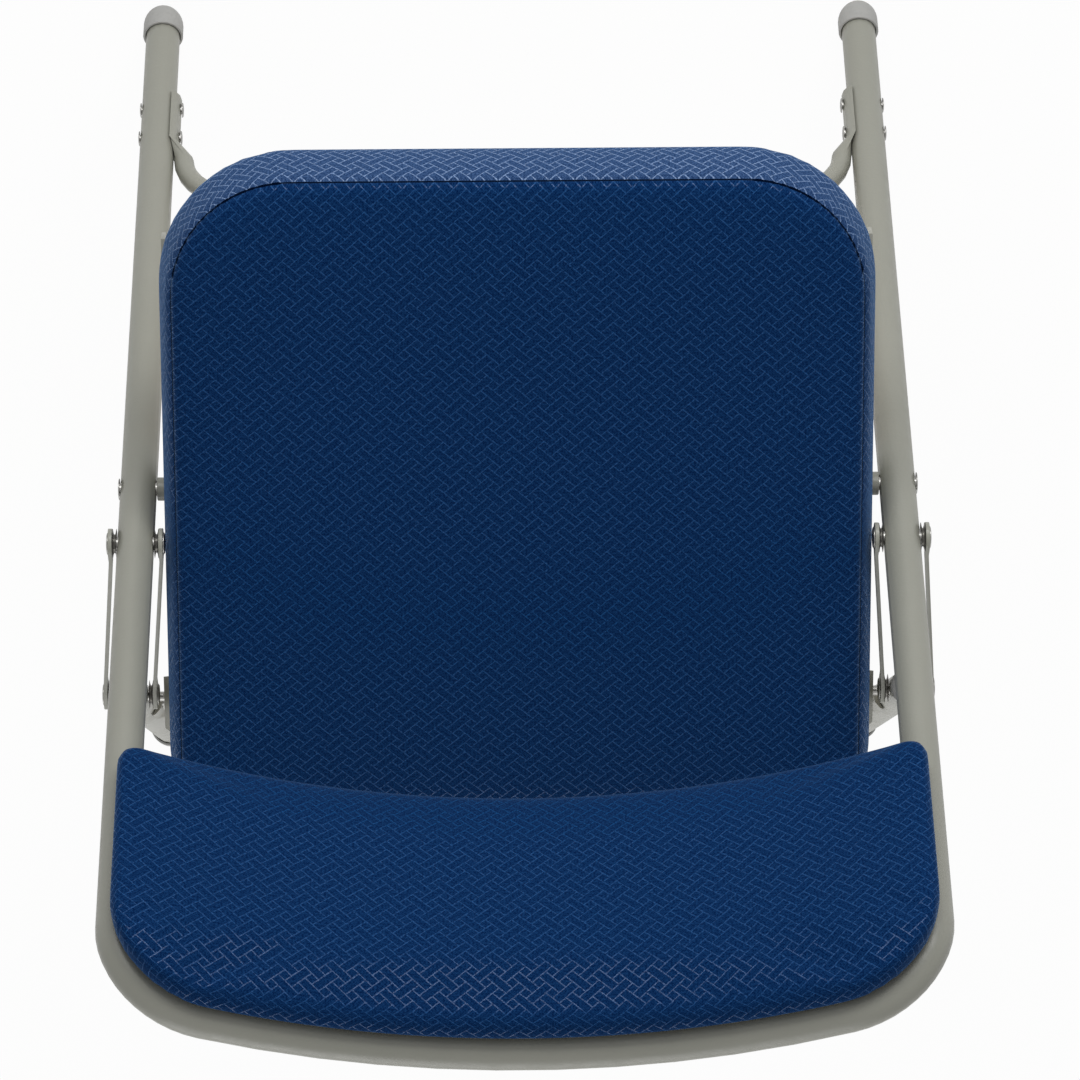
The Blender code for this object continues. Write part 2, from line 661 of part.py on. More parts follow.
def build_rail(side):
    """A folded steel angle: its web hangs down by the board's edge, its flange lies under the board."""
    sign = SIDES[side]
    name = "seat_rail_" + side
    flange_low = SEAT_BOTTOM - CLEARANCE - RAIL_SHEET
    ear_top = EAR_AXIS.z + EAR_RADIUS
    bend_top = ear_top + EAR_JOGGLE_RISE
    work = bmesh.new()
    work.faces.new([work.verts.new((0.0, y, z)) for y, z in rail_outline()])
    for height in (flange_low, bend_top, ear_top):
        everything = work.verts[:] + work.edges[:] + work.faces[:]
        bmesh.ops.bisect_plane(work, geom=everything, plane_co=(0, 0, height), plane_no=(0, 0, 1))
    push_out(work, work.faces[:], (-RAIL_SHEET, 0, 0))
    inside = [face for face in work.faces if face.calc_center_median().x < -0.9 * RAIL_SHEET]
    strip = [face for face in inside if face.calc_center_median().z > flange_low]
    push_out(work, strip, (RAIL_SHEET - RAIL_FLANGE, 0, 0))
    bmesh.ops.delete(work, geom=strip, context="FACES_ONLY")
    for spot in work.verts:
        drop = max(0.0, min(1.0, (bend_top - spot.co.z) / EAR_JOGGLE_RISE))
        behind = spot.co.y > EAR_AXIS.y - 2 * EAR_RADIUS - CLEARANCE
        joggle = (EAR_X - RAIL_X) * drop if behind else 0.0
        spot.co.x = sign * (RAIL_X + spot.co.x + joggle)
    rail = piece(name, mesh_from(work, name), "powder_coat", SEAT)
    cross_holes(rail, [(SEAT_AXIS, PIVOT_SHANK), (EAR_AXIS, EAR_SHANK + EAR_PLAY)], FRAME_WIDTH * 1.2)
    down = Vector((0, 0, 1))
    holes = [(seat_screw_place(side, row), down, SCREW_SHANK + CLEARANCE, 4 * RAIL_SHEET) for row in (1, 2)]
    combine(rail, round_cutter(name + "_screw_holes", holes), "DIFFERENCE")


def build_seat_fasteners():
    seat = CLEARANCE * 2 + RAIL_SHEET
    profile = [
        (0.0, SCREW_BITE - CLEARANCE), (SCREW_SHANK, SCREW_BITE - CLEARANCE), (SCREW_SHANK, -seat),
        (SCREW_HEAD, -seat), (SCREW_HEAD * 0.62, -seat - HEAD_HEIGHT * 0.82), (0.0, -seat - HEAD_HEIGHT),
    ]
    for side in SIDES:
        for row in (1, 2):
            place = Matrix.Translation(seat_screw_place(side, row))
            turned("seat_screw_%s_%d" % (side, row), profile, "plated_steel", SEAT, place)
    inner = RAIL_X + CLEARANCE
    outer = TUBE_X - TUBE_RADIUS - CLEARANCE
    bore = PIVOT_SHANK + CLEARANCE
    sleeve = [(SLEEVE_RADIUS, outer), (SLEEVE_RADIUS, inner), (bore, inner), (bore, outer)]
    rivet = rivet_profile(
        RAIL_X - RAIL_SHEET - CLEARANCE, TUBE_X + TUBE_RADIUS + CLEARANCE, PIVOT_SHANK,
        (PIVOT_HEAD, HEAD_HEIGHT), (PIVOT_HEAD, THIN_HEAD_HEIGHT),
    )
    for side in SIDES:
        place = outward(side, SEAT_AXIS)
        turned("seat_pivot_sleeve_" + side, sleeve, "powder_coat", FRAME, place, closed=True)
        turned("seat_pivot_rivet_" + side, rivet, "plated_steel", FRAME, place)


def bar_faces(x):
    """The near and far faces of the inner and outer bars on a tube at x."""
    start = TUBE_RADIUS + SPACER_LENGTH + 2 * CLEARANCE
    return {
        "inner": (x - start - BAR_THICKNESS, x - start),
        "outer": (x + start, x + start + BAR_THICKNESS),
    }


def build_hinge_bar(side, place):
    """A flat hinge bar, waisted between its round ends, that runs from the front tube to the leg."""
    name = "hinge_bar_%s_%s" % (place, side)
    sign = SIDES[side]
    near, far = bar_faces(TUBE_X)[place]
    run = LEG_AXIS - BAR_AXIS
    length = run.length
    ahead = run.normalized()
    across = Vector((0, -ahead.z, ahead.y))
    outline = []
    for middle, start in ((length, -90), (0.0, 90)):
        for step in range(CORNER_STEPS * 2 + 1):
            angle = math.radians(start + 180 * step / (2 * CORNER_STEPS))
            outline.append((middle + BAR_END_RADIUS * math.cos(angle), BAR_END_RADIUS * math.sin(angle)))
        waist = 1 if middle else -1
        ends = (length - 1.7 * BAR_END_RADIUS, 1.7 * BAR_END_RADIUS)
        outline += [(spot, waist * BAR_WAIST) for spot in (ends if middle else ends[::-1])]
    work = cut_sheet(outline, (BAR_END_RADIUS, length - BAR_END_RADIUS), [])
    push_out(work, work.faces[:], (0, 0, far - near))
    for spot in work.verts:
        along, aside, depth = spot.co
        splay = LEG_SPLAY * max(0.0, min(1.0, (along - BAR_END_RADIUS) / (length - 2 * BAR_END_RADIUS)))
        point = BAR_AXIS + ahead * along + across * aside
        spot.co = Vector((sign * (near + depth + splay), point.y, point.z))
    bar = piece(name, mesh_from(work, name), "powder_coat", BARS[side])
    cross_holes(bar, [(BAR_AXIS, PIVOT_SHANK), (LEG_AXIS, PIVOT_SHANK)], FRAME_WIDTH * 1.3)


def build_hinge(side):
    """Both bars of one hinge, their flared spacers and the two rivets that carry them."""
    for place in ("outer", "inner"):
        build_hinge_bar(side, place)
    bore = PIVOT_SHANK + CLEARANCE
    for end, x, axis, body in (("front", TUBE_X, BAR_AXIS, FRAME), ("rear", LEG_X, LEG_AXIS, LEGS)):
        faces = bar_faces(x)
        matrix = outward(side, axis)
        for place, way in (("outer", 1), ("inner", -1)):
            low = x + way * (TUBE_RADIUS + CLEARANCE) - (SPACER_LENGTH if way < 0 else 0.0)
            high = low + SPACER_LENGTH
            waist = (low + high) / 2
            spool = [
                (SPACER_RADIUS, high), (SPACER_NECK, waist), (SPACER_RADIUS, low), (bore, low), (bore, high),
            ]
            name = "hinge_spacer_%s_%s_%s" % (end, place, side)
            turned(name, spool, "plated_steel", body, matrix, closed=True)
        profile = rivet_profile(
            faces["inner"][0] - CLEARANCE, faces["outer"][1] + CLEARANCE, PIVOT_SHANK,
            (PIVOT_HEAD, THIN_HEAD_HEIGHT), (PIVOT_HEAD, THIN_HEAD_HEIGHT),
        )
        turned("hinge_rivet_%s_%s" % (end, side), profile, "plated_steel", body, matrix)


def build_rear_leg(side):
    sign = SIDES[side]
    low = (CAP_FLOOR + TUBE_RADIUS * math.sin(LEG_LEAN)) / math.cos(LEG_LEAN) + CLEARANCE
    high = LEG_PIVOT_ALONG + LEG_TOP
    points = [leg_point(sign * LEG_X, along) for along in (low, high)]
    name = "rear_leg_" + side
    mesh = mesh_from(tube_path(name, points, TUBE_RADIUS, TUBE_ROUNDING, False), name)
    leg = piece(name, mesh, "powder_coat", LEGS)
    wall = leg.modifiers.new("wall", "SOLIDIFY")
    wall.thickness = TUBE_WALL
    wall.offset = -1.0
    places = [(LEG_AXIS, PIVOT_SHANK), (EAR_AXIS, EAR_SHANK)]
    places += [(leg_point(0.0, rear_rivet(top)), BRACE_SHANK) for top in (UPPER_BRACE_TOP, LOWER_BRACE_TOP)]
    cross_holes(leg, places, FRAME_WIDTH * 1.3)
    stem = TUBE_RADIUS - TUBE_WALL - CLEARANCE
    plug = [
        (0.0, PLUG_DOME), (TUBE_RADIUS * 0.62, PLUG_DOME * 0.8), (TUBE_RADIUS, CLEARANCE), (stem, CLEARANCE),
        (stem, -PLUG_STEM), (0.0, -PLUG_STEM),
    ]
    lean = Matrix.Rotation(LEG_LEAN, 4, "X")
    place = Matrix.Translation(leg_point(sign * LEG_X, high)) @ lean
    turned("rear_leg_plug_" + side, plug, "grey_plastic", LEGS, place)
    rivet = rivet_profile(
        EAR_X - RAIL_SHEET - CLEARANCE, LEG_X + TUBE_RADIUS + CLEARANCE, EAR_SHANK,
        (EAR_HEAD, EAR_HEAD_HEIGHT), (PIVOT_HEAD, EAR_HEAD_HEIGHT),
    )
    turned("ear_rivet_" + side, rivet, "plated_steel", LEGS, outward(side, EAR_AXIS))


def build_chair():
    build_front_frame()
    brace("front_cross_brace", TUBE_X, FRONT_BRACE_LOW, 1, frame_point, FRAME, front_rivets())
    brace_rivets("front_brace_rivet", TUBE_X, frame_point, FRAME, front_rivets())
    build_back()
    build_seat()
    build_seat_fasteners()
    for side, sign in SIDES.items():
        foot_cap("front_foot_cap_" + side, sign * TUBE_X, FRAME_LEAN, frame_point, FRAME)
        foot_cap("rear_foot_cap_" + side, sign * LEG_X, LEG_LEAN, leg_point, LEGS)
        build_rail(side)
        build_hinge(side)
        build_rear_leg(side)
    for level, top in (("upper", UPPER_BRACE_TOP), ("lower", LOWER_BRACE_TOP)):
        rivets = (rear_rivet(top),)
        brace("rear_brace_" + level, LEG_X, top, -1, leg_point, LEGS, rivets)
        brace_rivets("rear_%s_rivet" % level, LEG_X, leg_point, LEGS, rivets)


build_chair()
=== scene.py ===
# %% [markdown]
# # Dressing a padded folding chair
#
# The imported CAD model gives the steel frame, the hinges and every fastener in their true places.
# This lesson adds what CAD leaves out: the finishes of the metal and plastic, smooth turned rivets
# and screws, moulded foot caps, and two soft cushions, which are inflated with Blender's Cloth and
# covered in a woven fabric. Everything is in metres. The sitter faces -Y, and +Z is up.

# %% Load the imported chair
import json
import math

import bmesh
import bpy
import numpy as np
from mathutils import Matrix, Vector


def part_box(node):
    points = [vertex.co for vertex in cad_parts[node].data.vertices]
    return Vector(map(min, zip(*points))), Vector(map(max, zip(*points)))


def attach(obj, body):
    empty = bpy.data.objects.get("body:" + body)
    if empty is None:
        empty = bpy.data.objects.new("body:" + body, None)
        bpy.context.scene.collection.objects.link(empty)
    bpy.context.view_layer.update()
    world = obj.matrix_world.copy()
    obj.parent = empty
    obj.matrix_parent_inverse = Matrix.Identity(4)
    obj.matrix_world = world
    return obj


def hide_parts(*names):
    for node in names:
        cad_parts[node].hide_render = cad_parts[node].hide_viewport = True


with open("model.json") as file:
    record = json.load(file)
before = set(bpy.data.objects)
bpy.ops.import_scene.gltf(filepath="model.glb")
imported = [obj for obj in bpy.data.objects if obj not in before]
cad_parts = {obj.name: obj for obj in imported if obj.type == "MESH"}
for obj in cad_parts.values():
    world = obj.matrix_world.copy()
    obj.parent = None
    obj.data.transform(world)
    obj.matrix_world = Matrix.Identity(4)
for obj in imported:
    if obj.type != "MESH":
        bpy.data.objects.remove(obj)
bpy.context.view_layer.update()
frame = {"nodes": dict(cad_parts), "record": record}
nodes = frame["nodes"]
scene = bpy.context.scene
print("CAD nodes:", len(nodes))

# %% [markdown]
# ## The camera
#
# The photograph looks down on the seat from in front and above, and the picture is turned so that
# the top of the backrest is at its lower edge. A long lens keeps the legs almost parallel.
# A camera could be aimed with a Track To constraint, but a constraint can't give the small roll,
# so the three axes of the camera are worked out and put straight into its matrix.

# %% Camera
IMAGE_SIZE = 1080
FOCAL_LENGTH_IN_PIXELS = 5264.9
CAMERA_PLACE = Vector((0.0246, -1.2260, 3.3180))
look_down = math.radians(67.78)
yaw = math.radians(-1.797)
roll = math.radians(-2.134)

ahead = Vector((
    math.sin(yaw) * math.cos(look_down), math.cos(yaw) * math.cos(look_down), -math.sin(look_down),
))
level = Vector((math.cos(yaw), -math.sin(yaw), 0.0))
above = level.cross(ahead)
picture_left = level * math.cos(roll) + above * math.sin(roll)
picture_down = above * math.cos(roll) - level * math.sin(roll)


def placed(name, data):
    """A new object in the scene."""
    thing = bpy.data.objects.new(name, data)
    scene.collection.objects.link(thing)
    return thing


camera_data = bpy.data.cameras.new("photo_camera")
camera_data.sensor_width = 36.0
camera_data.lens = camera_data.sensor_width * FOCAL_LENGTH_IN_PIXELS / IMAGE_SIZE
camera = placed("photo_camera", camera_data)
camera_axes = Matrix((-picture_left, -picture_down, -ahead)).transposed()
camera.matrix_world = Matrix.Translation(CAMERA_PLACE) @ camera_axes.to_4x4()
scene.camera = camera
scene.view_settings.view_transform = "Standard"
print("lens: %.1f mm" % camera_data.lens)

# %% [markdown]
# ## Helpers for node trees
#
# Every finish below is a node tree. A few short helpers keep those trees readable: one adds a node
# and sets its values, one does a step of arithmetic, and one starts a shader node group with named
# sockets, which is how an effect is built once and then placed in several materials.

# %% Node helpers
def add_node(tree, kind, inputs=None, **settings):
    """A new node. Inputs are plain values or the output sockets of other nodes."""
    node = tree.nodes.new(kind)
    for name, value in settings.items():
        setattr(node, name, value)
    for name, value in (inputs or {}).items():
        if isinstance(value, bpy.types.NodeSocket):
            tree.links.new(value, node.inputs[name])
        else:
            node.inputs[name].default_value = value
    return node


def math_node(tree, operation, first, second=0.5, third=0.5):
    """One step of arithmetic, as the output socket of a Math node."""
    values = {0: first, 1: second, 2: third}
    return add_node(tree, "ShaderNodeMath", values, operation=operation).outputs[0]


def ranged(tree, source, low, high, from_low=0.0, from_high=1.0):
    """A value moved from one range into another, and held inside it."""
    limits = {"From Min": from_low, "From Max": from_high, "To Min": low, "To Max": high}
    return add_node(tree, "ShaderNodeMapRange", {"Value": source, **limits}).outputs["Result"]


def mixed_colour(tree, mask, first, second):
    """A colour that changes from the first to the second with a mask. Either may be a socket."""
    pair = [c if isinstance(c, bpy.types.NodeSocket) else (*c, 1.0) for c in (first, second)]
    values = {0: mask, 6: pair[0], 7: pair[1]}
    return add_node(tree, "ShaderNodeMix", values, data_type="RGBA").outputs[2]


def new_group(name, inputs, outputs):
    """A shader node group with named float and vector sockets, and its two end nodes."""
    group = bpy.data.node_groups.new(name, "ShaderNodeTree")
    for title, value in inputs.items():
        kind = "NodeSocketFloat" if isinstance(value, float) else "NodeSocketVector"
        socket = group.interface.new_socket(title, in_out="INPUT", socket_type=kind)
        socket.default_value = value
    for title in outputs:
        group.interface.new_socket(title, in_out="OUTPUT", socket_type="NodeSocketFloat")
    return group, group.nodes.new("NodeGroupInput"), group.nodes.new("NodeGroupOutput")


def use_group(tree, group, **inputs):
    """The group placed in a material, with this material's own values."""
    values = {title.replace("_", " "): value for title, value in inputs.items()}
    return add_node(tree, "ShaderNodeGroup", values, node_tree=group)


def new_material(name, **plain):
    """A material with its Principled shader. Plain values go straight onto the shader's sockets."""
    material = bpy.data.materials.new(name)
    material.use_nodes = True
    tree = material.node_tree
    shader = tree.nodes["Principled BSDF"]
    for title, value in plain.items():
        shader.inputs[title.replace("_", " ")].default_value = value
    return material, tree, shader


# %% [markdown]
# ## The studio
#
# The photograph has a plain white ground. The floor here is pale paper that catches the chair's
# shadow. It could be lit until it turns white, but then the chair would be too bright as well. So to
# the camera, and in reflections, most of its white comes from an emission that lights nothing, and
# the lamps stay at a level where a colour renders as it is written.

# %% Floor
FLOOR_SIZE = 8.0
FLOOR_WHITENESS = 0.95


def seen_directly(tree):
    """1 for a ray from the camera or from a mirror or glass surface, 0 for light that bounces."""
    path = tree.nodes.new("ShaderNodeLightPath")
    either = math_node(tree, "MAXIMUM", path.outputs["Is Camera Ray"], path.outputs["Is Glossy Ray"])
    return math_node(tree, "MAXIMUM", either, path.outputs["Is Transmission Ray"])


floor_mesh = bpy.data.meshes.new("studio_floor")
work = bmesh.new()
bmesh.ops.create_grid(work, x_segments=1, y_segments=1, size=FLOOR_SIZE)
work.to_mesh(floor_mesh)
work.free()
floor = placed("studio_floor", floor_mesh)
floor_material, tree, shader = new_material(
    "studio_paper", Base_Color=(0.86, 0.86, 0.86, 1.0), Roughness=0.9,
)
glow = add_node(tree, "ShaderNodeEmission", {"Color": (1.0, 1.0, 1.0, 1.0), "Strength": 1.0})
share = math_node(tree, "MULTIPLY", seen_directly(tree), FLOOR_WHITENESS)
paper = add_node(tree, "ShaderNodeMixShader", {0: share, 1: shader.outputs[0], 2: glow.outputs[0]})
tree.links.new(paper.outputs[0], tree.nodes["Material Output"].inputs["Surface"])
floor_mesh.materials.append(floor_material)
print("floor:", FLOOR_SIZE * 2, "m wide")

# %% [markdown]
# A wide soft lamp, low in front, lights the front of the seat and gives the silky yarns of the back
# their glints. A second one lifts the rear. Sun lamps would be simpler, but they cast hard shadows,
# which the photograph doesn't have. The sky adds even light all round, and the camera sees it white.

# %% Lamps and sky
SKY_LEVEL = 0.38
BACKDROP_LEVEL = 0.975
LAMPS = {
    "front_softbox": ((-0.2, -1.75, 1.15), (1.8, 0.6), 24.0),
    "rear_fill": ((0.4, 2.2, 1.3), (1.6, 1.6), 18.0),
}
LAMP_TARGET = Vector((0.0, 0.0, 0.45))

world = bpy.data.worlds.new("studio_sky")
world.use_nodes = True
scene.world = world
sky_tree = world.node_tree
ambient = sky_tree.nodes["Background"]
ambient.inputs["Color"].default_value = (1.0, 1.0, 1.0, 1.0)
ambient.inputs["Strength"].default_value = SKY_LEVEL
backdrop = add_node(
    sky_tree, "ShaderNodeBackground", {"Color": (1.0, 1.0, 1.0, 1.0), "Strength": BACKDROP_LEVEL},
)
sky = add_node(
    sky_tree, "ShaderNodeMixShader",
    {0: seen_directly(sky_tree), 1: ambient.outputs[0], 2: backdrop.outputs[0]},
)
sky_tree.links.new(sky.outputs[0], sky_tree.nodes["World Output"].inputs["Surface"])
for name, (place, size, power) in LAMPS.items():
    lamp_data = bpy.data.lights.new(name, "AREA")
    lamp_data.shape = "RECTANGLE"
    lamp_data.size, lamp_data.size_y = size
    lamp_data.energy = power
    lamp = placed(name, lamp_data)
    lamp.location = place
    lamp.rotation_euler = (LAMP_TARGET - Vector(place)).to_track_quat("-Z", "Y").to_euler()
print("lamps:", ", ".join(LAMPS))

# %% [markdown]
# ## Shared surface effects
#
# Two effects are used by more than one finish, so each is a node group. *Fine grain* is the tiny
# unevenness of a sprayed or moulded skin. *Handling marks* are the faint rubbed and dusty patches
# that any used surface has. Both are measured in metres on Object coordinates, so they keep their
# true size on every piece.

# %% Fine grain and handling marks
grain_group, start, end = new_group(
    "fine_grain", {"Place": (0.0, 0.0, 0.0), "Per Metre": 800.0, "Detail": 2.0}, ["Height"],
)
noise = add_node(grain_group, "ShaderNodeTexNoise", {
    "Vector": start.outputs["Place"], "Scale": start.outputs["Per Metre"],
    "Detail": start.outputs["Detail"], "Roughness": 0.55,
})
grain_group.links.new(noise.outputs["Fac"], end.inputs["Height"])

marks_group, start, end = new_group(
    "handling_marks", {"Place": (0.0, 0.0, 0.0), "Per Metre": 18.0, "Cover": 0.4}, ["Marks", "Cloud"],
)
cloud = add_node(marks_group, "ShaderNodeTexNoise", {
    "Vector": start.outputs["Place"], "Scale": start.outputs["Per Metre"],
    "Detail": 5.0, "Roughness": 0.65,
})
speck_scale = math_node(marks_group, "MULTIPLY", start.outputs["Per Metre"], 14.0)
specks = add_node(marks_group, "ShaderNodeTexNoise", {
    "Vector": start.outputs["Place"], "Scale": speck_scale, "Detail": 3.0,
})
edge = math_node(marks_group, "SUBTRACT", 1.0, start.outputs["Cover"])
both = math_node(marks_group, "MULTIPLY", cloud.outputs["Fac"], specks.outputs["Fac"])
marked = ranged(marks_group, both, 0.0, 1.0, math_node(marks_group, "MULTIPLY", edge, 0.38), 0.46)
marks_group.links.new(marked, end.inputs["Marks"])
marks_group.links.new(cloud.outputs["Fac"], end.inputs["Cloud"])
print("groups:", grain_group.name, marks_group.name)

# %% [markdown]
# ## The metal, plastic and wood finishes
#
# The tubes, bars and sheets are sprayed with a warm grey powder coat: satin, with a slight orange
# peel. The peel could be modelled, but it is far finer than any mesh here, so noise drives a Bump.

# %% Powder coat
def add_bump(tree, shader, height, distance, strength):
    """The height, in a Bump node that feeds the shader's normal."""
    bump = add_node(tree, "ShaderNodeBump", {"Height": height, "Distance": distance, "Strength": strength})
    tree.links.new(bump.outputs["Normal"], shader.inputs["Normal"])


def object_place(tree):
    """Object coordinates, which are metres on every piece here."""
    return add_node(tree, "ShaderNodeTexCoord").outputs["Object"]


powder, tree, shader = new_material("powder_coat", Metallic=0.0)
place = object_place(tree)
peel = use_group(tree, grain_group, Place=place, Per_Metre=520.0, Detail=1.5)
marks = use_group(tree, marks_group, Place=place, Per_Metre=9.0, Cover=0.42)
tint = mixed_colour(tree, marks.outputs["Cloud"], (0.270, 0.272, 0.232), (0.312, 0.312, 0.270))
tree.links.new(tint, shader.inputs["Base Color"])
tree.links.new(ranged(tree, marks.outputs["Marks"], 0.38, 0.52), shader.inputs["Roughness"])
add_bump(tree, shader, peel.outputs["Height"], 0.0004, 0.25)
print("finish:", powder.name)

# %% [markdown]
# Rivets, spools, screws and staples are plated steel. One even gloss would look brand new, so the
# handling marks dull it in patches.

# %% Plated steel
plated, tree, shader = new_material("plated_steel", Metallic=1.0)
place = object_place(tree)
marks = use_group(tree, marks_group, Place=place, Per_Metre=60.0, Cover=0.55)
grain = use_group(tree, grain_group, Place=place, Per_Metre=1500.0, Detail=2.0)
tint = mixed_colour(tree, marks.outputs["Cloud"], (0.24, 0.237, 0.225), (0.40, 0.393, 0.375))
tree.links.new(tint, shader.inputs["Base Color"])
tree.links.new(ranged(tree, marks.outputs["Marks"], 0.30, 0.46), shader.inputs["Roughness"])
add_bump(tree, shader, grain.outputs["Height"], 0.0002, 0.15)
print("finish:", plated.name)

# %% [markdown]
# The foot caps and the plugs are moulded grey plastic. The mould leaves a fine, even grain, which
# also breaks up the gloss, so one noise feeds both the Bump and the roughness.

# %% Moulded plastic
plastic, tree, shader = new_material("moulded_plastic", Metallic=0.0)
place = object_place(tree)
grain = use_group(tree, grain_group, Place=place, Per_Metre=1400.0, Detail=3.0)
marks = use_group(tree, marks_group, Place=place, Per_Metre=30.0, Cover=0.5)
tint = mixed_colour(tree, marks.outputs["Marks"], (0.375, 0.375, 0.362), (0.325, 0.323, 0.31))
tree.links.new(tint, shader.inputs["Base Color"])
tree.links.new(ranged(tree, grain.outputs["Height"], 0.46, 0.6), shader.inputs["Roughness"])
add_bump(tree, shader, grain.outputs["Height"], 0.0003, 0.25)
print("finish:", plastic.name)

# %% [markdown]
# The boards under the fabric are bare plywood. Wood fibres run one way, so the same grain is
# stretched from front to back with a Mapping node, which needs no texture of its own.

# %% Plywood
plywood, tree, shader = new_material("plywood", Metallic=0.0)
place = object_place(tree)
stretch = add_node(tree, "ShaderNodeMapping", {"Vector": place, "Scale": (1.0, 0.06, 1.0)})
fibre = use_group(tree, grain_group, Place=stretch.outputs["Vector"], Per_Metre=240.0, Detail=4.0)
tint = mixed_colour(tree, fibre.outputs["Height"], (0.36, 0.235, 0.125), (0.60, 0.43, 0.26))
tree.links.new(tint, shader.inputs["Base Color"])
tree.links.new(ranged(tree, fibre.outputs["Height"], 0.58, 0.78), shader.inputs["Roughness"])
add_bump(tree, shader, fibre.outputs["Height"], 0.0005, 0.3)
print("finish:", plywood.name)

# %% [markdown]
# ## The woven fabric
#
# The cover is a navy jacquard. Its pattern is a trellis of diagonal straps that pass over and under
# each other, drawn by thin lighter yarns. The pattern could be an image, but nodes give it at any
# size: two skewed coordinates run along the straps, their fractions give the strap edges, and the
# parity of their whole parts says which strap lies on top. A finer plain weave gives the yarns.

# %% Trellis weave
STRAP_ACROSS = 0.0147
STRAP_ALONG = 0.0127
STRAP_EDGE = 0.25
YARNS_PER_METRE = 1350.0

weave_group, start, end = new_group(
    "trellis_weave", {"Place": (0.0, 0.0, 0.0), "Line Width": 0.04}, ["Lines", "Yarn", "Height"],
)
axes = add_node(weave_group, "ShaderNodeSeparateXYZ", {0: start.outputs["Place"]})
across = math_node(weave_group, "DIVIDE", axes.outputs["X"], STRAP_ACROSS)
along = math_node(weave_group, "DIVIDE", axes.outputs["Y"], STRAP_ALONG)
rising = math_node(weave_group, "ADD", across, along)
falling = math_node(weave_group, "SUBTRACT", along, across)


def strap(tree, coordinate, width):
    """The two thin edge lines of a strap, and a mask that is 1 inside the strap."""
    part = math_node(tree, "SUBTRACT", math_node(tree, "FRACT", coordinate), 0.5)
    from_middle = math_node(tree, "ABSOLUTE", part)
    line = math_node(tree, "COMPARE", from_middle, STRAP_EDGE, width)
    return line, math_node(tree, "LESS_THAN", from_middle, STRAP_EDGE)


def shown(tree, line, covering, on_top):
    """A strap's lines where the other strap doesn't lie on top of them."""
    hidden = math_node(tree, "MULTIPLY", covering, on_top)
    return math_node(tree, "MULTIPLY", line, math_node(tree, "SUBTRACT", 1.0, hidden))


rising_line, rising_inside = strap(weave_group, rising, start.outputs["Line Width"])
falling_line, falling_inside = strap(weave_group, falling, start.outputs["Line Width"])
whole_parts = [math_node(weave_group, "FLOOR", coordinate) for coordinate in (rising, falling)]
parity = math_node(weave_group, "PINGPONG", math_node(weave_group, "ADD", *whole_parts), 1.0)
rising_on_top = math_node(weave_group, "LESS_THAN", parity, 0.5)
falling_on_top = math_node(weave_group, "SUBTRACT", 1.0, rising_on_top)
lines = math_node(
    weave_group, "MAXIMUM",
    shown(weave_group, rising_line, falling_inside, falling_on_top),
    shown(weave_group, falling_line, rising_inside, rising_on_top),
)
yarn_turn = YARNS_PER_METRE * math.pi
warp, weft = [
    math_node(weave_group, "SINE", math_node(weave_group, "MULTIPLY", axes.outputs[name], yarn_turn))
    for name in ("X", "Y")
]
yarn = math_node(weave_group, "MULTIPLY_ADD", math_node(weave_group, "MULTIPLY", warp, weft), 0.5, 0.5)
height = math_node(weave_group, "MULTIPLY_ADD", lines, 0.8, math_node(weave_group, "MULTIPLY", yarn, 0.5))
weave_group.links.new(lines, end.inputs["Lines"])
weave_group.links.new(yarn, end.inputs["Yarn"])
weave_group.links.new(height, end.inputs["Height"])
print("weave repeats every %.1f by %.1f mm" % (STRAP_ACROSS * 1000, STRAP_ALONG * 1000))

# %% [markdown]
# Cloth glows softly where it turns away from the eye, which is what the Sheen sockets are for, and
# the lighter yarns are silky, which a thin coat over them shows where they catch the lamp. Flecks
# break up the drawn lines, as loose yarns do. In the sewn seam the fabric dips out of the light, and
# that shade is painted: each cushion stores how far a point lies above or below its seam, and the
# material paints the nearest points dark, so the seam stays thin on a coarse mesh. Below the seam is
# the boxing. Its front faces the low front lamp, and its light and sheen are painted in as lighter yarn.

# %% Navy fabric
GROUND = (0.0003, 0.0078, 0.049)
GROUND_LIGHT = (0.0082, 0.0450, 0.146)
LINE_YARN = (0.0070, 0.0640, 0.205)
# Painted light: lighter colours for the front of the boxing, standing in for the low front lamp and the
# sheen it raises there.
LIT_FRONT_GROUND = (0.0045, 0.0220, 0.082)
LIT_FRONT_LIGHT = (0.0550, 0.1100, 0.245)
LIT_FRONT_LINE = (0.2000, 0.3000, 0.500)
# Painted shade for the seam, where the fabric dips out of the light.
SEAM_SHADE_COLOUR = (0.0003, 0.003, 0.014)
SEAM_SHADE_HALF_WIDTH = 0.0009
SILK = 0.46
YARN_SHARE = 0.35

fabric, tree, shader = new_material(
    "navy_fabric", Metallic=0.0, Roughness=0.85, Specular_IOR_Level=0.0, Sheen_Weight=0.35,
    Sheen_Roughness=0.38, Sheen_Tint=(0.34, 0.58, 1.0, 1.0), Coat_Roughness=0.25, Coat_IOR=1.4,
)
cloth_place = add_node(tree, "ShaderNodeUVMap", uv_map="cloth").outputs["UV"]
weave = use_group(tree, weave_group, Place=cloth_place, Line_Width=0.034)
fleck = use_group(tree, grain_group, Place=cloth_place, Per_Metre=850.0, Detail=1.0)
flecked = ranged(tree, fleck.outputs["Height"], 0.0, 1.0, 0.35, 0.65)
spots = math_node(tree, "MULTIPLY", flecked, 1 - YARN_SHARE)
yarns = math_node(tree, "MULTIPLY_ADD", weave.outputs["Yarn"], YARN_SHARE, spots)
floats = math_node(tree, "MULTIPLY", weave.outputs["Lines"], ranged(tree, flecked, 0.3, 1.0))
from_seam, rubbed = [
    add_node(tree, "ShaderNodeAttribute", attribute_name=name).outputs["Fac"]
    for name in ("from_seam", "rubbed")
]
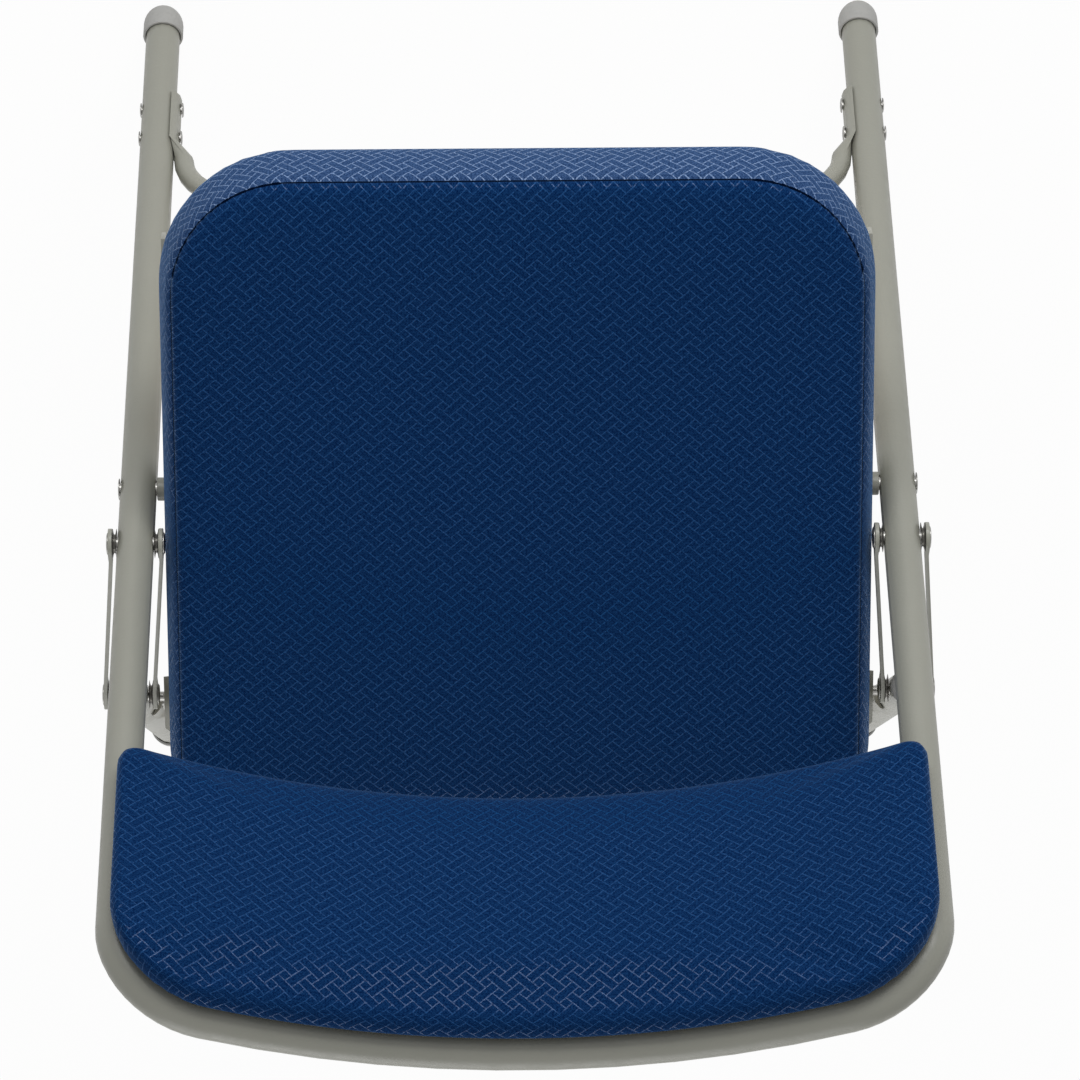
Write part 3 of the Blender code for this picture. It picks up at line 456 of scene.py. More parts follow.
# The painted light falls only on the boxing below the seam, and most where it faces forwards.
painted_front_light = math_node(tree, "MULTIPLY", rubbed, math_node(tree, "LESS_THAN", from_seam, 0.0))
ground = mixed_colour(
    tree, yarns,
    mixed_colour(tree, painted_front_light, GROUND, LIT_FRONT_GROUND), mixed_colour(tree, painted_front_light, GROUND_LIGHT, LIT_FRONT_LIGHT),
)
panels = mixed_colour(tree, floats, ground, mixed_colour(tree, painted_front_light, LINE_YARN, LIT_FRONT_LINE))
# A thin band along the seam is painted dark, as painted shade, and its silky lines lose their glints.
seam_shade = math_node(tree, "COMPARE", from_seam, 0.0, SEAM_SHADE_HALF_WIDTH)
tree.links.new(mixed_colour(tree, seam_shade, panels, SEAM_SHADE_COLOUR), shader.inputs["Base Color"])
open_lines = math_node(tree, "MULTIPLY", floats, math_node(tree, "SUBTRACT", 1.0, seam_shade))
tree.links.new(math_node(tree, "MULTIPLY", open_lines, SILK), shader.inputs["Coat Weight"])
add_bump(tree, shader, weave.outputs["Height"], 0.0005, 0.5)
print("fabric:", fabric.name)

# %% [markdown]
# ## Finishes on the CAD nodes
#
# The record says which finish each node has. A CAD node's mesh is loose triangles with flat shading,
# and it mustn't be changed, so its round look comes from modifiers: Weld joins the triangles, Bevel
# takes the knife edges off sheet metal, and Edge Split keeps the shading crisp where faces meet at a
# steep angle.

# %% Dress the CAD nodes
SLOT_MATERIALS = {
    "powder": powder, "plated": plated, "plastic": plastic, "plywood": plywood, "fabric": fabric,
}
SHEET_PIECES = ("hinge_bar", "seat_rail", "back_panel")
SHEET_EDGE = 0.0004
WELD_REACH = 0.00001
BEVEL_ABOVE = math.radians(40)
SPLIT_ABOVE = math.radians(38)

for row in frame["record"]["subparts"]:
    thing = nodes[row["node"]]
    thing.data.materials.clear()
    thing.data.materials.append(SLOT_MATERIALS[row["material_slot"]])
    weld = thing.modifiers.new("join_triangles", "WELD")
    weld.merge_threshold = WELD_REACH
    if thing.name.startswith(SHEET_PIECES):
        bevel = thing.modifiers.new("soft_edges", "BEVEL")
        bevel.width = SHEET_EDGE
        bevel.segments = 2
        bevel.limit_method = "ANGLE"
        bevel.angle_limit = BEVEL_ABOVE
    thing.data.shade_smooth()
    split = thing.modifiers.new("crisp_corners", "EDGE_SPLIT")
    split.split_angle = SPLIT_ABOVE

# %% [markdown]
# ## Turned fasteners
#
# Rivets, spacers and screws are turned parts. The CAD solids have twelve sides, which is enough for
# collisions but shows corners close up. A lathe piece is best made as on a lathe: draw half of its
# section as a line of points, and spin it round the axis. Each new piece reads its place from the
# CAD node it stands for, so it can't end up anywhere else.

# %% Turning helpers
TURN_STEPS = 32
MERGE_REACH = 1e-6
SHARP_ABOVE = math.radians(35)
BODIES = frame["record"]["behaviour"]["bodies"]
NODE_BODIES = {node: body for body, names in BODIES.items() for node in names}
NODE_SLOTS = {row["node"]: row["material_slot"] for row in frame["record"]["subparts"]}


def points_of(mesh):
    """The mesh's points, as an array of rows."""
    points = np.empty(len(mesh.vertices) * 3)
    mesh.vertices.foreach_get("co", points)
    return points.reshape(-1, 3)


def lathe_of(node, direction):
    """A turned node's own frame, with Z along its axis, and where the node starts and ends on it."""
    turn = Vector(direction).to_track_quat("Z", "Y").to_matrix()
    places = points_of(nodes[node].data) @ np.array(turn)
    low, high = places.min(axis=0), places.max(axis=0)
    middle = Vector(((low[0] + high[0]) / 2, (low[1] + high[1]) / 2, 0.0))
    return Matrix.Translation(turn @ middle) @ turn.to_4x4(), low[2], high[2]


def spun(profile, closed=False):
    """A bmesh of a profile of radius and height, spun once round the Z axis."""
    work = bmesh.new()
    spots = [work.verts.new((radius, 0.0, height)) for radius, height in profile]
    pairs = list(zip(spots, spots[1:])) + ([(spots[-1], spots[0])] if closed else [])
    edges = [work.edges.new(pair) for pair in pairs]
    bmesh.ops.spin(
        work, geom=spots + edges, axis=(0, 0, 1), cent=(0, 0, 0), angle=2 * math.pi, steps=TURN_STEPS,
        use_merge=True,
    )
    bmesh.ops.remove_doubles(work, verts=work.verts, dist=MERGE_REACH)
    bmesh.ops.recalc_face_normals(work, faces=work.faces)
    return work


def finished(work, name):
    """The mesh of a bmesh, with smooth shading up to steep edges."""
    mesh = bpy.data.meshes.new(name)
    work.to_mesh(mesh)
    work.free()
    mesh.shade_smooth()
    mesh.set_sharp_from_angle(angle=SHARP_ABOVE)
    return mesh


def stand_for(node, mesh):
    """A finished piece in the place of a CAD node, with the node's body and finish."""
    mesh.materials.append(SLOT_MATERIALS[NODE_SLOTS[node]])
    thing = placed(node + "_fine", mesh)
    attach(thing, NODE_BODIES[node])
    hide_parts(node)


def outward_of(node):
    """Away from the chair's middle plane, on the node's own side."""
    return (1.0, 0.0, 0.0) if "left" in node else (-1.0, 0.0, 0.0)


# %% [markdown]
# A rivet has a low domed head on its outer end. Its inner end is clinched: the hollow tip of the
# shank is rolled over into a ring. Both are drawn into the profile.

# %% Rivets
BRACE_RIVET = (0.0025, 0.0048, 0.0010, 0.0048, 0.0010)
RIVETS = {
    "front_brace_rivet": BRACE_RIVET,
    "rear_upper_rivet": BRACE_RIVET,
    "rear_lower_rivet": BRACE_RIVET,
    "hinge_rivet": (0.0040, 0.0065, 0.0010, 0.0065, 0.0010),
    "seat_pivot_rivet": (0.0040, 0.0065, 0.0020, 0.0065, 0.0010),
    "ear_rivet": (0.0030, 0.0085, 0.0014, 0.0065, 0.0014),
}
DOME_STEPS = 6


def dome(radius, height, base):
    """A low dome from its top to its rim, with a small upright edge."""
    edge = 0.25 * height
    steps = [math.radians(90 * step / DOME_STEPS) for step in range(DOME_STEPS + 1)]
    curve = [(radius * math.sin(a), base + edge + (height - edge) * math.cos(a)) for a in steps]
    return curve + [(radius, base)]


def clinch(radius, height, base):
    """A rolled rivet end, listed from the shank to the hollow in its middle. It points down."""
    ring = [(radius, base), (radius, base - 0.35 * height), (0.86 * radius, base - 0.85 * height)]
    ring += [(0.62 * radius, base - height), (0.46 * radius, base - 0.8 * height)]
    return ring + [(0.36 * radius, base - 0.3 * height), (0.0, base - 0.2 * height)]


rivets = [(node, stem) for node in nodes for stem in RIVETS if node.startswith(stem)]
for node, stem in rivets:
    shank, inner_radius, inner_height, outer_radius, outer_height = RIVETS[stem]
    lathe, low, high = lathe_of(node, outward_of(node))
    profile = dome(outer_radius, outer_height, high - outer_height)
    profile += [(shank, high - outer_height), (shank, low + inner_height)]
    profile += clinch(inner_radius, inner_height, low + inner_height)
    work = spun(profile)
    work.transform(lathe)
    stand_for(node, finished(work, node))
print("rivets:", len(rivets))

# %% [markdown]
# Between each hinge bar and its tube sits a spool that is flared at both ends, so the bar turns on a
# wide, flat face. The seat hangs on two plain sleeves. Domed plugs close the tops of the rear legs.

# %% Spools, sleeves and plugs
PIVOT_BORE = 0.0043
SPOOL_RADIUS = 0.0088
SPOOL_NECK = 0.0054
SPOOL_STEPS = 8
SLEEVE_RADIUS = 0.007
SLEEVE_CHAMFER = 0.0004
LEG_LEAN = math.radians(27.0)
LEG_UP = (0.0, -math.sin(LEG_LEAN), math.cos(LEG_LEAN))
PLUG_RADIUS = 0.011
PLUG_STEM = 0.0095
PLUG_DOME = 0.0035

for node in nodes:
    if node.startswith("hinge_spacer"):
        lathe, low, high = lathe_of(node, outward_of(node))
        flare = []
        for step in range(SPOOL_STEPS + 1):
            part = step / SPOOL_STEPS
            radius = SPOOL_NECK + (SPOOL_RADIUS - SPOOL_NECK) * (2 * part - 1) ** 2
            flare.append((radius, low + (high - low) * part))
        work = spun(flare + [(PIVOT_BORE, high), (PIVOT_BORE, low)], closed=True)
    elif node.startswith("seat_pivot_sleeve"):
        lathe, low, high = lathe_of(node, outward_of(node))
        small = SLEEVE_RADIUS - SLEEVE_CHAMFER
        skin = [
            (small, low), (SLEEVE_RADIUS, low + SLEEVE_CHAMFER),
            (SLEEVE_RADIUS, high - SLEEVE_CHAMFER), (small, high),
        ]
        work = spun(skin + [(PIVOT_BORE, high), (PIVOT_BORE, low)], closed=True)
    elif node.startswith("rear_leg_plug"):
        lathe, low, high = lathe_of(node, LEG_UP)
        rim = high - PLUG_DOME
        work = spun(dome(PLUG_RADIUS, PLUG_DOME, rim) + [(PLUG_STEM, rim), (PLUG_STEM, low), (0.0, low)])
    else:
        continue
    work.transform(lathe)
    stand_for(node, finished(work, node))
print("spools:", sum(node.startswith("hinge_spacer") for node in nodes))

# %% [markdown]
# The back and the seat are held by pan-head screws with a cross recess. The recess is cut with the
# Boolean modifier, one wedge after the other: a tool made of two crossing wedges would cut through
# itself, and the Boolean would then give nothing back.

# %% Screws with a cross recess
SCREW_HEAD = 0.0042
SCREW_HEIGHT = 0.002
SCREW_SHANK = 0.002
RECESS_LENGTH = 0.0046
RECESS_WIDTH = 0.0009
RECESS_DEPTH = 0.0011
RECESS_TAPER = (0.45, 0.7, 1.0)
FRAME_LEAN = math.radians(24.0)
BACKWARD = (0.0, math.cos(FRAME_LEAN), -math.sin(FRAME_LEAN))


def applied(name, mesh, *steps):
    """A copy of a mesh after modifiers, which are given as their kind and their settings."""
    helper = placed(name, mesh)
    for kind, settings in steps:
        modifier = helper.modifiers.new(kind.lower(), kind)
        for title, value in settings.items():
            setattr(modifier, title, value)
    shown_now = helper.evaluated_get(bpy.context.evaluated_depsgraph_get())
    result = bpy.data.meshes.new_from_object(shown_now)
    bpy.data.objects.remove(helper, do_unlink=True)
    result.name = name
    return result


def carved(name, mesh, tool_mesh):
    """A mesh without the space of a tool."""
    tool = placed("carving_tool", tool_mesh)
    settings = {"object": tool, "operation": "DIFFERENCE", "solver": "EXACT"}
    result = applied(name, mesh, ("BOOLEAN", settings))
    bpy.data.objects.remove(tool, do_unlink=True)
    return result


def recess_tool(top, turn):
    """A wedge, narrow at the bottom, that reaches down into a screw head from its top."""
    work = bmesh.new()
    size = Matrix.Diagonal((RECESS_LENGTH, RECESS_WIDTH, 2 * RECESS_DEPTH, 1.0))
    bmesh.ops.create_cube(work, size=1.0, matrix=size)
    bmesh.ops.scale(work, vec=RECESS_TAPER, verts=[v for v in work.verts if v.co.z < 0])
    work.transform(Matrix.Translation((0, 0, top)) @ Matrix.Rotation(turn, 4, "Z"))
    return finished(work, "recess_tool")


screws = [node for node in nodes if node.startswith(("back_screw", "seat_screw"))]
for node in screws:
    lathe, low, high = lathe_of(node, BACKWARD if node.startswith("back") else (0.0, 0.0, -1.0))
    base = high - SCREW_HEIGHT
    profile = dome(SCREW_HEAD, SCREW_HEIGHT, base) + [(SCREW_SHANK, base), (SCREW_SHANK, low), (0.0, low)]
    head = finished(spun(profile), node)
    for turn in (0.0, math.pi / 2):
        head = carved(node, head, recess_tool(high, turn))
    head.transform(lathe)
    stand_for(node, head)
print("screws: %d, the last with %d faces" % (len(screws), len(head.polygons)))

# %% [markdown]
# ## Foot caps
#
# Each tube ends in a moulded cap. It follows the leaning tube but stands flat on the floor, so it is
# a turned cup, cut level at the floor, closed there, and rounded along the cut with a bevel.

# %% Moulded foot caps
CAP_RADIUS = 0.013
CAP_LIP = 0.0007
CAP_FLOOR = 0.002
SOLE_ROUND = 0.0024
TUBE_RADIUS = 0.011
TUBE_GAP = 0.0003
FRAME_UP = (0.0, math.sin(FRAME_LEAN), math.cos(FRAME_LEAN))


def cut_flat(work, point, normal, **clear):
    """Cuts a bmesh along a plane, and gives the edges of the cut."""
    everything = work.verts[:] + work.edges[:] + work.faces[:]
    cut = bmesh.ops.bisect_plane(work, geom=everything, plane_co=point, plane_no=normal, **clear)
    return [item for item in cut["geom_cut"] if isinstance(item, bmesh.types.BMEdge)]


caps = [node for node in nodes if "foot_cap" in node]
for node in caps:
    lean, up = (FRAME_LEAN, FRAME_UP) if node.startswith("front") else (LEG_LEAN, LEG_UP)
    lathe, _, rim = lathe_of(node, up)
    ground = -lathe.translation.z / math.cos(lean)
    socket = TUBE_RADIUS + TUBE_GAP
    bottom = ground + (CAP_FLOOR + TUBE_RADIUS * math.sin(lean)) / math.cos(lean)
    work = spun([
        (0.0, bottom), (socket, bottom), (socket, rim - CAP_LIP), (socket + CAP_LIP / 2, rim),
        (CAP_RADIUS - CAP_LIP, rim), (CAP_RADIUS - 0.3 * CAP_LIP, rim - 0.3 * CAP_LIP),
        (CAP_RADIUS, rim - CAP_LIP), (CAP_RADIUS, ground - 2 * CAP_RADIUS),
    ])
    work.transform(lathe)
    sole_edges = cut_flat(work, (0, 0, 0), (0, 0, -1), clear_outer=True)
    bmesh.ops.edgeloop_fill(work, edges=sole_edges)
    bmesh.ops.recalc_face_normals(work, faces=work.faces)
    bmesh.ops.bevel(
        work, geom=sole_edges, offset=SOLE_ROUND, offset_type="OFFSET", affect="EDGES", segments=5,
        profile=0.5, material=-1,
    )
    stand_for(node, finished(work, node))
print("foot caps:", len(caps))

# %% [markdown]
# ## Cushion outlines
#
# Both cushions are rounded rectangles seen from above. One function answers three questions about
# any point: how far it lies outside the outline, which way is outwards, and how far along the
# outline it is. The seam, the boxing strip and the weave all follow from those answers.

# %% Outline helper
CORNER_STEPS = 14
FIRST_RISE = 0.001
BASE_INSET = 0.001


class Outline:
    """A rounded rectangle, with one radius for its low corners and one for its high corners."""

    def __init__(self, half, low, high, low_radius, high_radius):
        self.half, self.low, self.high = half, low, high
        self.low_radius, self.high_radius = low_radius, high_radius

    def measure(self, x, y):
        """Distance outside, the outward direction, and the length along the edge from its low middle."""
        middle = (self.low + self.high) / 2
        radius = np.where(y < middle, self.low_radius, self.high_radius)
        sideways = np.abs(x) - (self.half - radius)
        endways = np.abs(y - middle) - ((self.high - self.low) / 2 - radius)
        corner = np.hypot(np.maximum(sideways, 0), np.maximum(endways, 0))
        outside = corner + np.minimum(np.maximum(sideways, endways), 0) - radius
        steep = np.maximum(corner, 1e-9)
        in_corner = (sideways > 0) & (endways > 0)
        east = np.where(in_corner, sideways / steep, sideways > endways) * np.sign(x)
        north = np.where(in_corner, endways / steep, sideways <= endways) * np.sign(y - middle)
        angle = np.arctan2(np.maximum(sideways, 0), np.maximum(endways, 1e-9))
        first = self.half - self.low_radius
        second = first + self.low_radius * math.pi / 2
        third = second + (self.high - self.low) - self.low_radius - self.high_radius
        fourth = third + self.high_radius * math.pi / 2
        on_side = second + (y - self.low - self.low_radius)
        on_low = np.where(sideways > 0, first + self.low_radius * angle, np.abs(x))
        at_end = fourth + self.half - self.high_radius - np.abs(x)
        on_high = np.where(sideways > 0, fourth - self.high_radius * angle, at_end)
        along = np.where(endways > 0, np.where(y < middle, on_low, on_high), on_side) * np.sign(x)
        return outside, east, north, along

    def face(self, work, inset):
        """The outline as one flat face, drawn in by an inset: a quad with its corners bevelled round."""
        half, low, high = self.half - inset, self.low + inset, self.high - inset
        size = Matrix.Diagonal((half, (high - low) / 2, 1.0, 1.0))
        shift = Matrix.Translation((0.0, (low + high) / 2, 0.0))
        bmesh.ops.create_grid(work, x_segments=1, y_segments=1, size=1.0, matrix=shift @ size)
        for end, radius in ((low, self.low_radius), (high, self.high_radius)):
            corners = [v for v in work.verts if abs(v.co.y - end) < 1e-6 and abs(abs(v.co.x) - half) < 1e-6]
            bmesh.ops.bevel(
                work, geom=corners, offset=radius - inset, offset_type="OFFSET", affect="VERTICES",
                segments=CORNER_STEPS, profile=0.5, material=-1,
            )
        return work.faces[:]


def raise_faces(work, faces, height):
    """Grows flat faces into a closed slab."""
    grown = bmesh.ops.extrude_face_region(work, geom=faces)["geom"]
    raised = [item for item in grown if isinstance(item, bmesh.types.BMVert)]
    bmesh.ops.translate(work, vec=(0, 0, height), verts=raised)
    bmesh.ops.recalc_face_normals(work, faces=work.faces)


def block_mesh(name, outline, base, waist, room, rings):
    """A closed block from its widest outline: rings above the waist, then one down to its base."""
    work = bmesh.new()
    middle = outline.face(work, room)
    bmesh.ops.translate(work, vec=(0, 0, base + waist), verts=work.verts)
    raise_faces(work, middle, FIRST_RISE)
    for inset, rise in rings + [(BASE_INSET, -waist)]:
        facing = math.copysign(1.0, rise)
        flat = [max(work.faces, key=lambda face: face.calc_center_median().z * facing)]
        bmesh.ops.inset_region(
            work, faces=flat, thickness=inset, depth=abs(rise), use_even_offset=True,
        )
    return finished(work, name)


def move_points(mesh, points):
    """Puts a mesh's points at new places."""
    mesh.vertices.foreach_set("co", points.ravel())
    mesh.update()


# %% [markdown]
# ## Inflating a cushion
#
# A foam pad in a tight cover is a slab that swells where nothing holds it. The slab is remeshed into
# even squares, so the cloth can stretch evenly, and then Cloth blows it up from inside with pressure.
# A vertex group holds the points that are sewn or stapled. The movement is capped, and the result is
# kept as a plain mesh, so no simulation is left on the piece.

# %% Inflate
PRESSURE = 4.0
FRAMES = 20
SWELL_LIMIT = 0.006


def inflate(mesh, held):
    """The mesh's points after Cloth has blown it up. Held is true where a point is sewn down."""
    before = points_of(mesh)
    helper = placed("inflating", mesh.copy())
    pins = helper.vertex_groups.new(name="sewn")
    pins.add(np.flatnonzero(held).tolist(), 1.0, "REPLACE")
    cloth = helper.modifiers.new("inflate", "CLOTH")
    cloth.settings.quality = 6
    cloth.settings.mass = 0.3
    cloth.settings.tension_stiffness = 25.0
    cloth.settings.compression_stiffness = 25.0
    cloth.settings.shear_stiffness = 12.0
    cloth.settings.bending_stiffness = 2.0
    cloth.settings.vertex_group_mass = pins.name
    cloth.settings.use_pressure = True
    cloth.settings.uniform_pressure_force = PRESSURE
    cloth.settings.effector_weights.gravity = 0.0
    cloth.collision_settings.use_collision = False
    cloth.point_cache.frame_start = 1
    cloth.point_cache.frame_end = FRAMES
    for step in range(1, FRAMES + 1):
        scene.frame_set(step)
    swollen = helper.evaluated_get(bpy.context.evaluated_depsgraph_get())
    after = points_of(swollen.data)
    scene.frame_set(1)
    bpy.data.objects.remove(helper, do_unlink=True)
    move = after - before
    length = np.linalg.norm(move, axis=1, keepdims=True)
    scale = SWELL_LIMIT * np.tanh(length / SWELL_LIMIT) / np.maximum(length, 1e-9)
    kept = (length * scale).max()
    print("  swelled by up to %.1f mm, kept %.1f mm" % (length.max() * 1000, kept * 1000))
    return before + move * scale


# %% [markdown]
# ## The seat cushion
#
# The seat is a boxed cushion: a strip of fabric runs round the side, and a seam joins it to the top
# panel. The side is fullest near the board and drawn in at the seam, and the top is gently crowned.
# The block starts from its widest outline, and insets with a depth carry that outline up to the seam
# and down to the board, so each ring follows the same rounded corners.

# %% Seat cushion shape
seat_low, seat_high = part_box("seat_cushion")
SEAT_FRONT_CORNER = 0.078
SEAT_REAR_CORNER = 0.028
SEAT_WAIST = 0.010
SEAM_HEIGHT = 0.040
SEAM_TUCK = 0.0055
REAR_REACH = 0.0025
REAR_FLARE = 0.010
FULLNESS = 0.0012
SEAT_VOXEL = 0.005

seat_outline = Outline(
    seat_high.x, seat_low.y, seat_high.y + FULLNESS, SEAT_FRONT_CORNER, SEAT_REAR_CORNER,
)
seam_z = seat_low.z + SEAM_HEIGHT
to_seam = (SEAM_TUCK + FULLNESS, SEAM_HEIGHT - SEAT_WAIST - FIRST_RISE)
seat_block = block_mesh(
    "seat_block", seat_outline, seat_low.z, SEAT_WAIST, -FULLNESS,
    [to_seam, (0.004, 0.0022), (0.008, 0.002), (0.020, 0.0015)],
)
points = points_of(seat_block)
points[(points[:, 1] > 0) & (points[:, 2] > seam_z - 0.001), 1] += REAR_REACH
move_points(seat_block, points)
even_squares = ("REMESH", {"mode": "VOXEL", "voxel_size": SEAT_VOXEL})
seat_mesh = applied("seat_padding", seat_block, even_squares)
print("seat block: %d points" % len(seat_mesh.vertices))

# %% [markdown]
# The seam and the stapled bottom edge are held, and the panels between them swell. Pulling single
# points up by hand could do that too, but the cloth rounds the corners by itself.

# %% Seat cushion swelling
seam_line = Outline(
    seat_outline.half - SEAM_TUCK, seat_outline.low + SEAM_TUCK,
    seat_outline.high - SEAM_TUCK + REAR_REACH,
    SEAT_FRONT_CORNER - SEAM_TUCK, SEAT_REAR_CORNER - SEAM_TUCK,
)
points = points_of(seat_mesh)
beyond_seam = seam_line.measure(points[:, 0], points[:, 1])[0]
rise = points[:, 2] - seat_low.z
near_seam = (np.abs(rise - SEAM_HEIGHT) < 0.6 * SEAT_VOXEL) & (beyond_seam > -SEAT_VOXEL)
move_points(seat_mesh, inflate(seat_mesh, near_seam | (rise < SEAT_VOXEL)))
one_subdivision = ("SUBSURF", {"levels": 1, "render_levels": 1})
seat_mesh = applied("seat_padding", seat_mesh, one_subdivision)
seat_top = points_of(seat_mesh)[:, 2].max()
print("seat cushion: %d points, top at %.1f mm" % (len(seat_mesh.vertices), seat_top * 1000))

# %% [markdown]
# The seam is a narrow crease. Remeshing would have lost so thin a line, so the swollen cushion is
# sliced level at the seam and close to it on both sides, and the middle row of points is drawn in.
# The top panel puffs up beside the seam, and the whole cushion widens a little towards the rear.

# %% Seam of the seat
SEAM_ZONE = 0.02
SEAM_WIDTH = 0.0015
SEAM_DEPTH = 0.0005
PUFF_HEIGHT = 0.0028
PUFF_REACH = 0.0045
FLARE_FROM = -0.2
FLARE_LENGTH = 0.3
FACING_FRONT_FALLOFF = 0.7
NO_SEAM = 0.05


def sliced(mesh, heights):
    """A mesh with extra rows of points at some heights."""
    work = bmesh.new()
    work.from_mesh(mesh)
    for height in heights:
        cut_flat(work, (0, 0, height), (0, 0, 1))
    return finished(work, mesh.name)


def set_values(mesh, name, values):
    """A value on every point, which a material can read."""
    layer = mesh.attributes.new(name, "FLOAT", "POINT")
    layer.data.foreach_set("value", values)


seat_mesh = sliced(seat_mesh, [seam_z - SEAM_WIDTH, seam_z, seam_z + SEAM_WIDTH])
points = points_of(seat_mesh)
_, east, north, along = seat_outline.measure(points[:, 0], points[:, 1])
inward = -seam_line.measure(points[:, 0], points[:, 1])[0]
near_edge = inward < SEAM_ZONE
seam_row = (np.abs(points[:, 2] - seam_z) < 1e-5) & near_edge
inward -= np.median(inward[seam_row])
from_seam = np.where(near_edge, points[:, 2] - seam_z + inward, NO_SEAM)
points[seam_row, 0] -= east[seam_row] * SEAM_DEPTH
points[seam_row, 1] -= north[seam_row] * SEAM_DEPTH
on_top = (points[:, 2] > seam_z) & ~seam_row
points[on_top, 2] += PUFF_HEIGHT * (1 - np.exp(-np.maximum(inward[on_top], 0.0) / PUFF_REACH))
points[:, 0] *= 1 + REAR_FLARE * np.clip((points[:, 1] - FLARE_FROM) / FLARE_LENGTH, 0.0, 1.0)
move_points(seat_mesh, points)
set_values(seat_mesh, "from_seam", from_seam)
# How far each point faces forwards, which sets the painted light on the front of the boxing.
set_values(seat_mesh, "rubbed", np.clip(-north, 0.0, 1.0) ** FACING_FRONT_FALLOFF)
print("points on the seam:", int(seam_row.sum()))

# %% [markdown]
# The weave needs a UV map, in metres. It could be projected from above, but the pattern would smear
# down the sides. So it is laid as the panels were cut: the top flat, and the boxing as a strip.

# %% Weave of the seat
def lay_cloth(mesh, corner_place):
    """The weave's UV map, from a place in metres for each corner of each face."""
    layer = mesh.uv_layers.new(name="cloth")
    layer.data.foreach_set("uv", corner_place.ravel())


def corners_of(mesh):
    """The point of each face corner, and the face it belongs to."""
    corner_points = np.empty(len(mesh.loops), dtype=int)
    mesh.loops.foreach_get("vertex_index", corner_points)
    totals = np.empty(len(mesh.polygons), dtype=int)
    mesh.polygons.foreach_get("loop_total", totals)
    return corner_points, np.repeat(np.arange(len(totals)), totals)


def face_middles(mesh):
    """The middle of each face, as rows."""
    middles = np.empty(len(mesh.polygons) * 3)
    mesh.polygons.foreach_get("center", middles)
    return middles.reshape(-1, 3)


corner_points, corner_faces = corners_of(seat_mesh)
middles = face_middles(seat_mesh)
_, _, _, face_along = seat_outline.measure(middles[:, 0], middles[:, 1])
is_side = (middles[:, 2] < seam_z)[corner_faces]
turn_length = 2 * np.abs(along).max()
strip = along[corner_points]
strip += turn_length * np.round((face_along[corner_faces] - strip) / turn_length)
flat_place = points[corner_points, :2]
side_place = np.stack([strip, points[corner_points, 2]], axis=1)
lay_cloth(seat_mesh, np.where(is_side[:, None], side_place, flat_place))
print("boxing strip: %.2f m long" % turn_length)

# %% [markdown]
# The cushion wraps the edge of a plywood board, so the board's space is cut out of it from below.
# The CAD solid of the cushion is then hidden, and the soft one stands for it.

# %% Seat cushion on its board
BOARD_GAP = 0.0003
BOARD_FRONT_CORNER = 0.062
BOARD_REAR_CORNER = 0.035
POCKET_BELOW = 0.01


def pocket_mesh(outline, inset, low, high, strips):
    """A slab in the shape of a board, cut into strips, to take the board's place out of a cushion."""
    work = bmesh.new()
    outline.face(work, inset)
    for step in range(1, strips):
        cut_flat(work, (outline.half * (2 * step / strips - 1), 0, 0), (1, 0, 0))
    bmesh.ops.translate(work, vec=(0, 0, low), verts=work.verts)
    raise_faces(work, work.faces[:], high - low)
    return finished(work, "board_pocket")


def add_cushion(name, mesh, body, node):
    """The finished cushion, in the place of its CAD solid."""
    mesh.materials.clear()
    mesh.materials.append(fabric)
    mesh.shade_smooth()
    thing = placed(name, mesh)
    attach(thing, body)
    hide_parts(node)


board_low, board_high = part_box("seat_board")
board_outline = Outline(
    board_high.x, board_low.y, board_high.y, BOARD_FRONT_CORNER, BOARD_REAR_CORNER,
)
seat_pocket = pocket_mesh(
    board_outline, -BOARD_GAP, board_low.z - POCKET_BELOW, board_high.z + BOARD_GAP, 1,
)
seat_mesh = carved("seat_padding", seat_mesh, seat_pocket)
add_cushion("seat_padding", seat_mesh, "seat", "seat_cushion")
print("seat padding: %d faces" % len(seat_mesh.polygons))

# %% [markdown]
# ## The back pad
#
# The back pad is a thin board with foam and fabric pulled round its edge, so it shows no seam, only
# a soft rounded rim. It is made flat, where the outline and the swelling are simple, and then every
# point is laid onto the curve of the back: the same bow as the steel sheet behind it.

# %% Back pad shape
PAD_HALF = 0.2290
PAD_LOW = 0.6505
PAD_TOP = 0.8190
PAD_LOW_CORNER = 0.014
PAD_TOP_CORNER = 0.056
PAD_BASE = 0.0015
PAD_WAIST = 0.0085
PAD_RIM = 0.017
PAD_VOXEL = 0.004

pad_outline = Outline(PAD_HALF, PAD_LOW, PAD_TOP, PAD_LOW_CORNER, PAD_TOP_CORNER)
pad_block = block_mesh(
    "pad_block", pad_outline, PAD_BASE, PAD_WAIST, 0.0,
    [(0.0025, PAD_RIM - PAD_WAIST - FIRST_RISE), (0.003, 0.002), (0.008, 0.002)],
)
even_squares = ("REMESH", {"mode": "VOXEL", "voxel_size": PAD_VOXEL})
pad_mesh = applied("back_padding", pad_block, even_squares)
print("pad block: %d points" % len(pad_mesh.vertices))

# %% [markdown]
# Only the front face swells, because the fabric is pulled tight round the rim. The weave is laid flat
# over the front and carried on round the rim, by as much as the fabric wraps there.

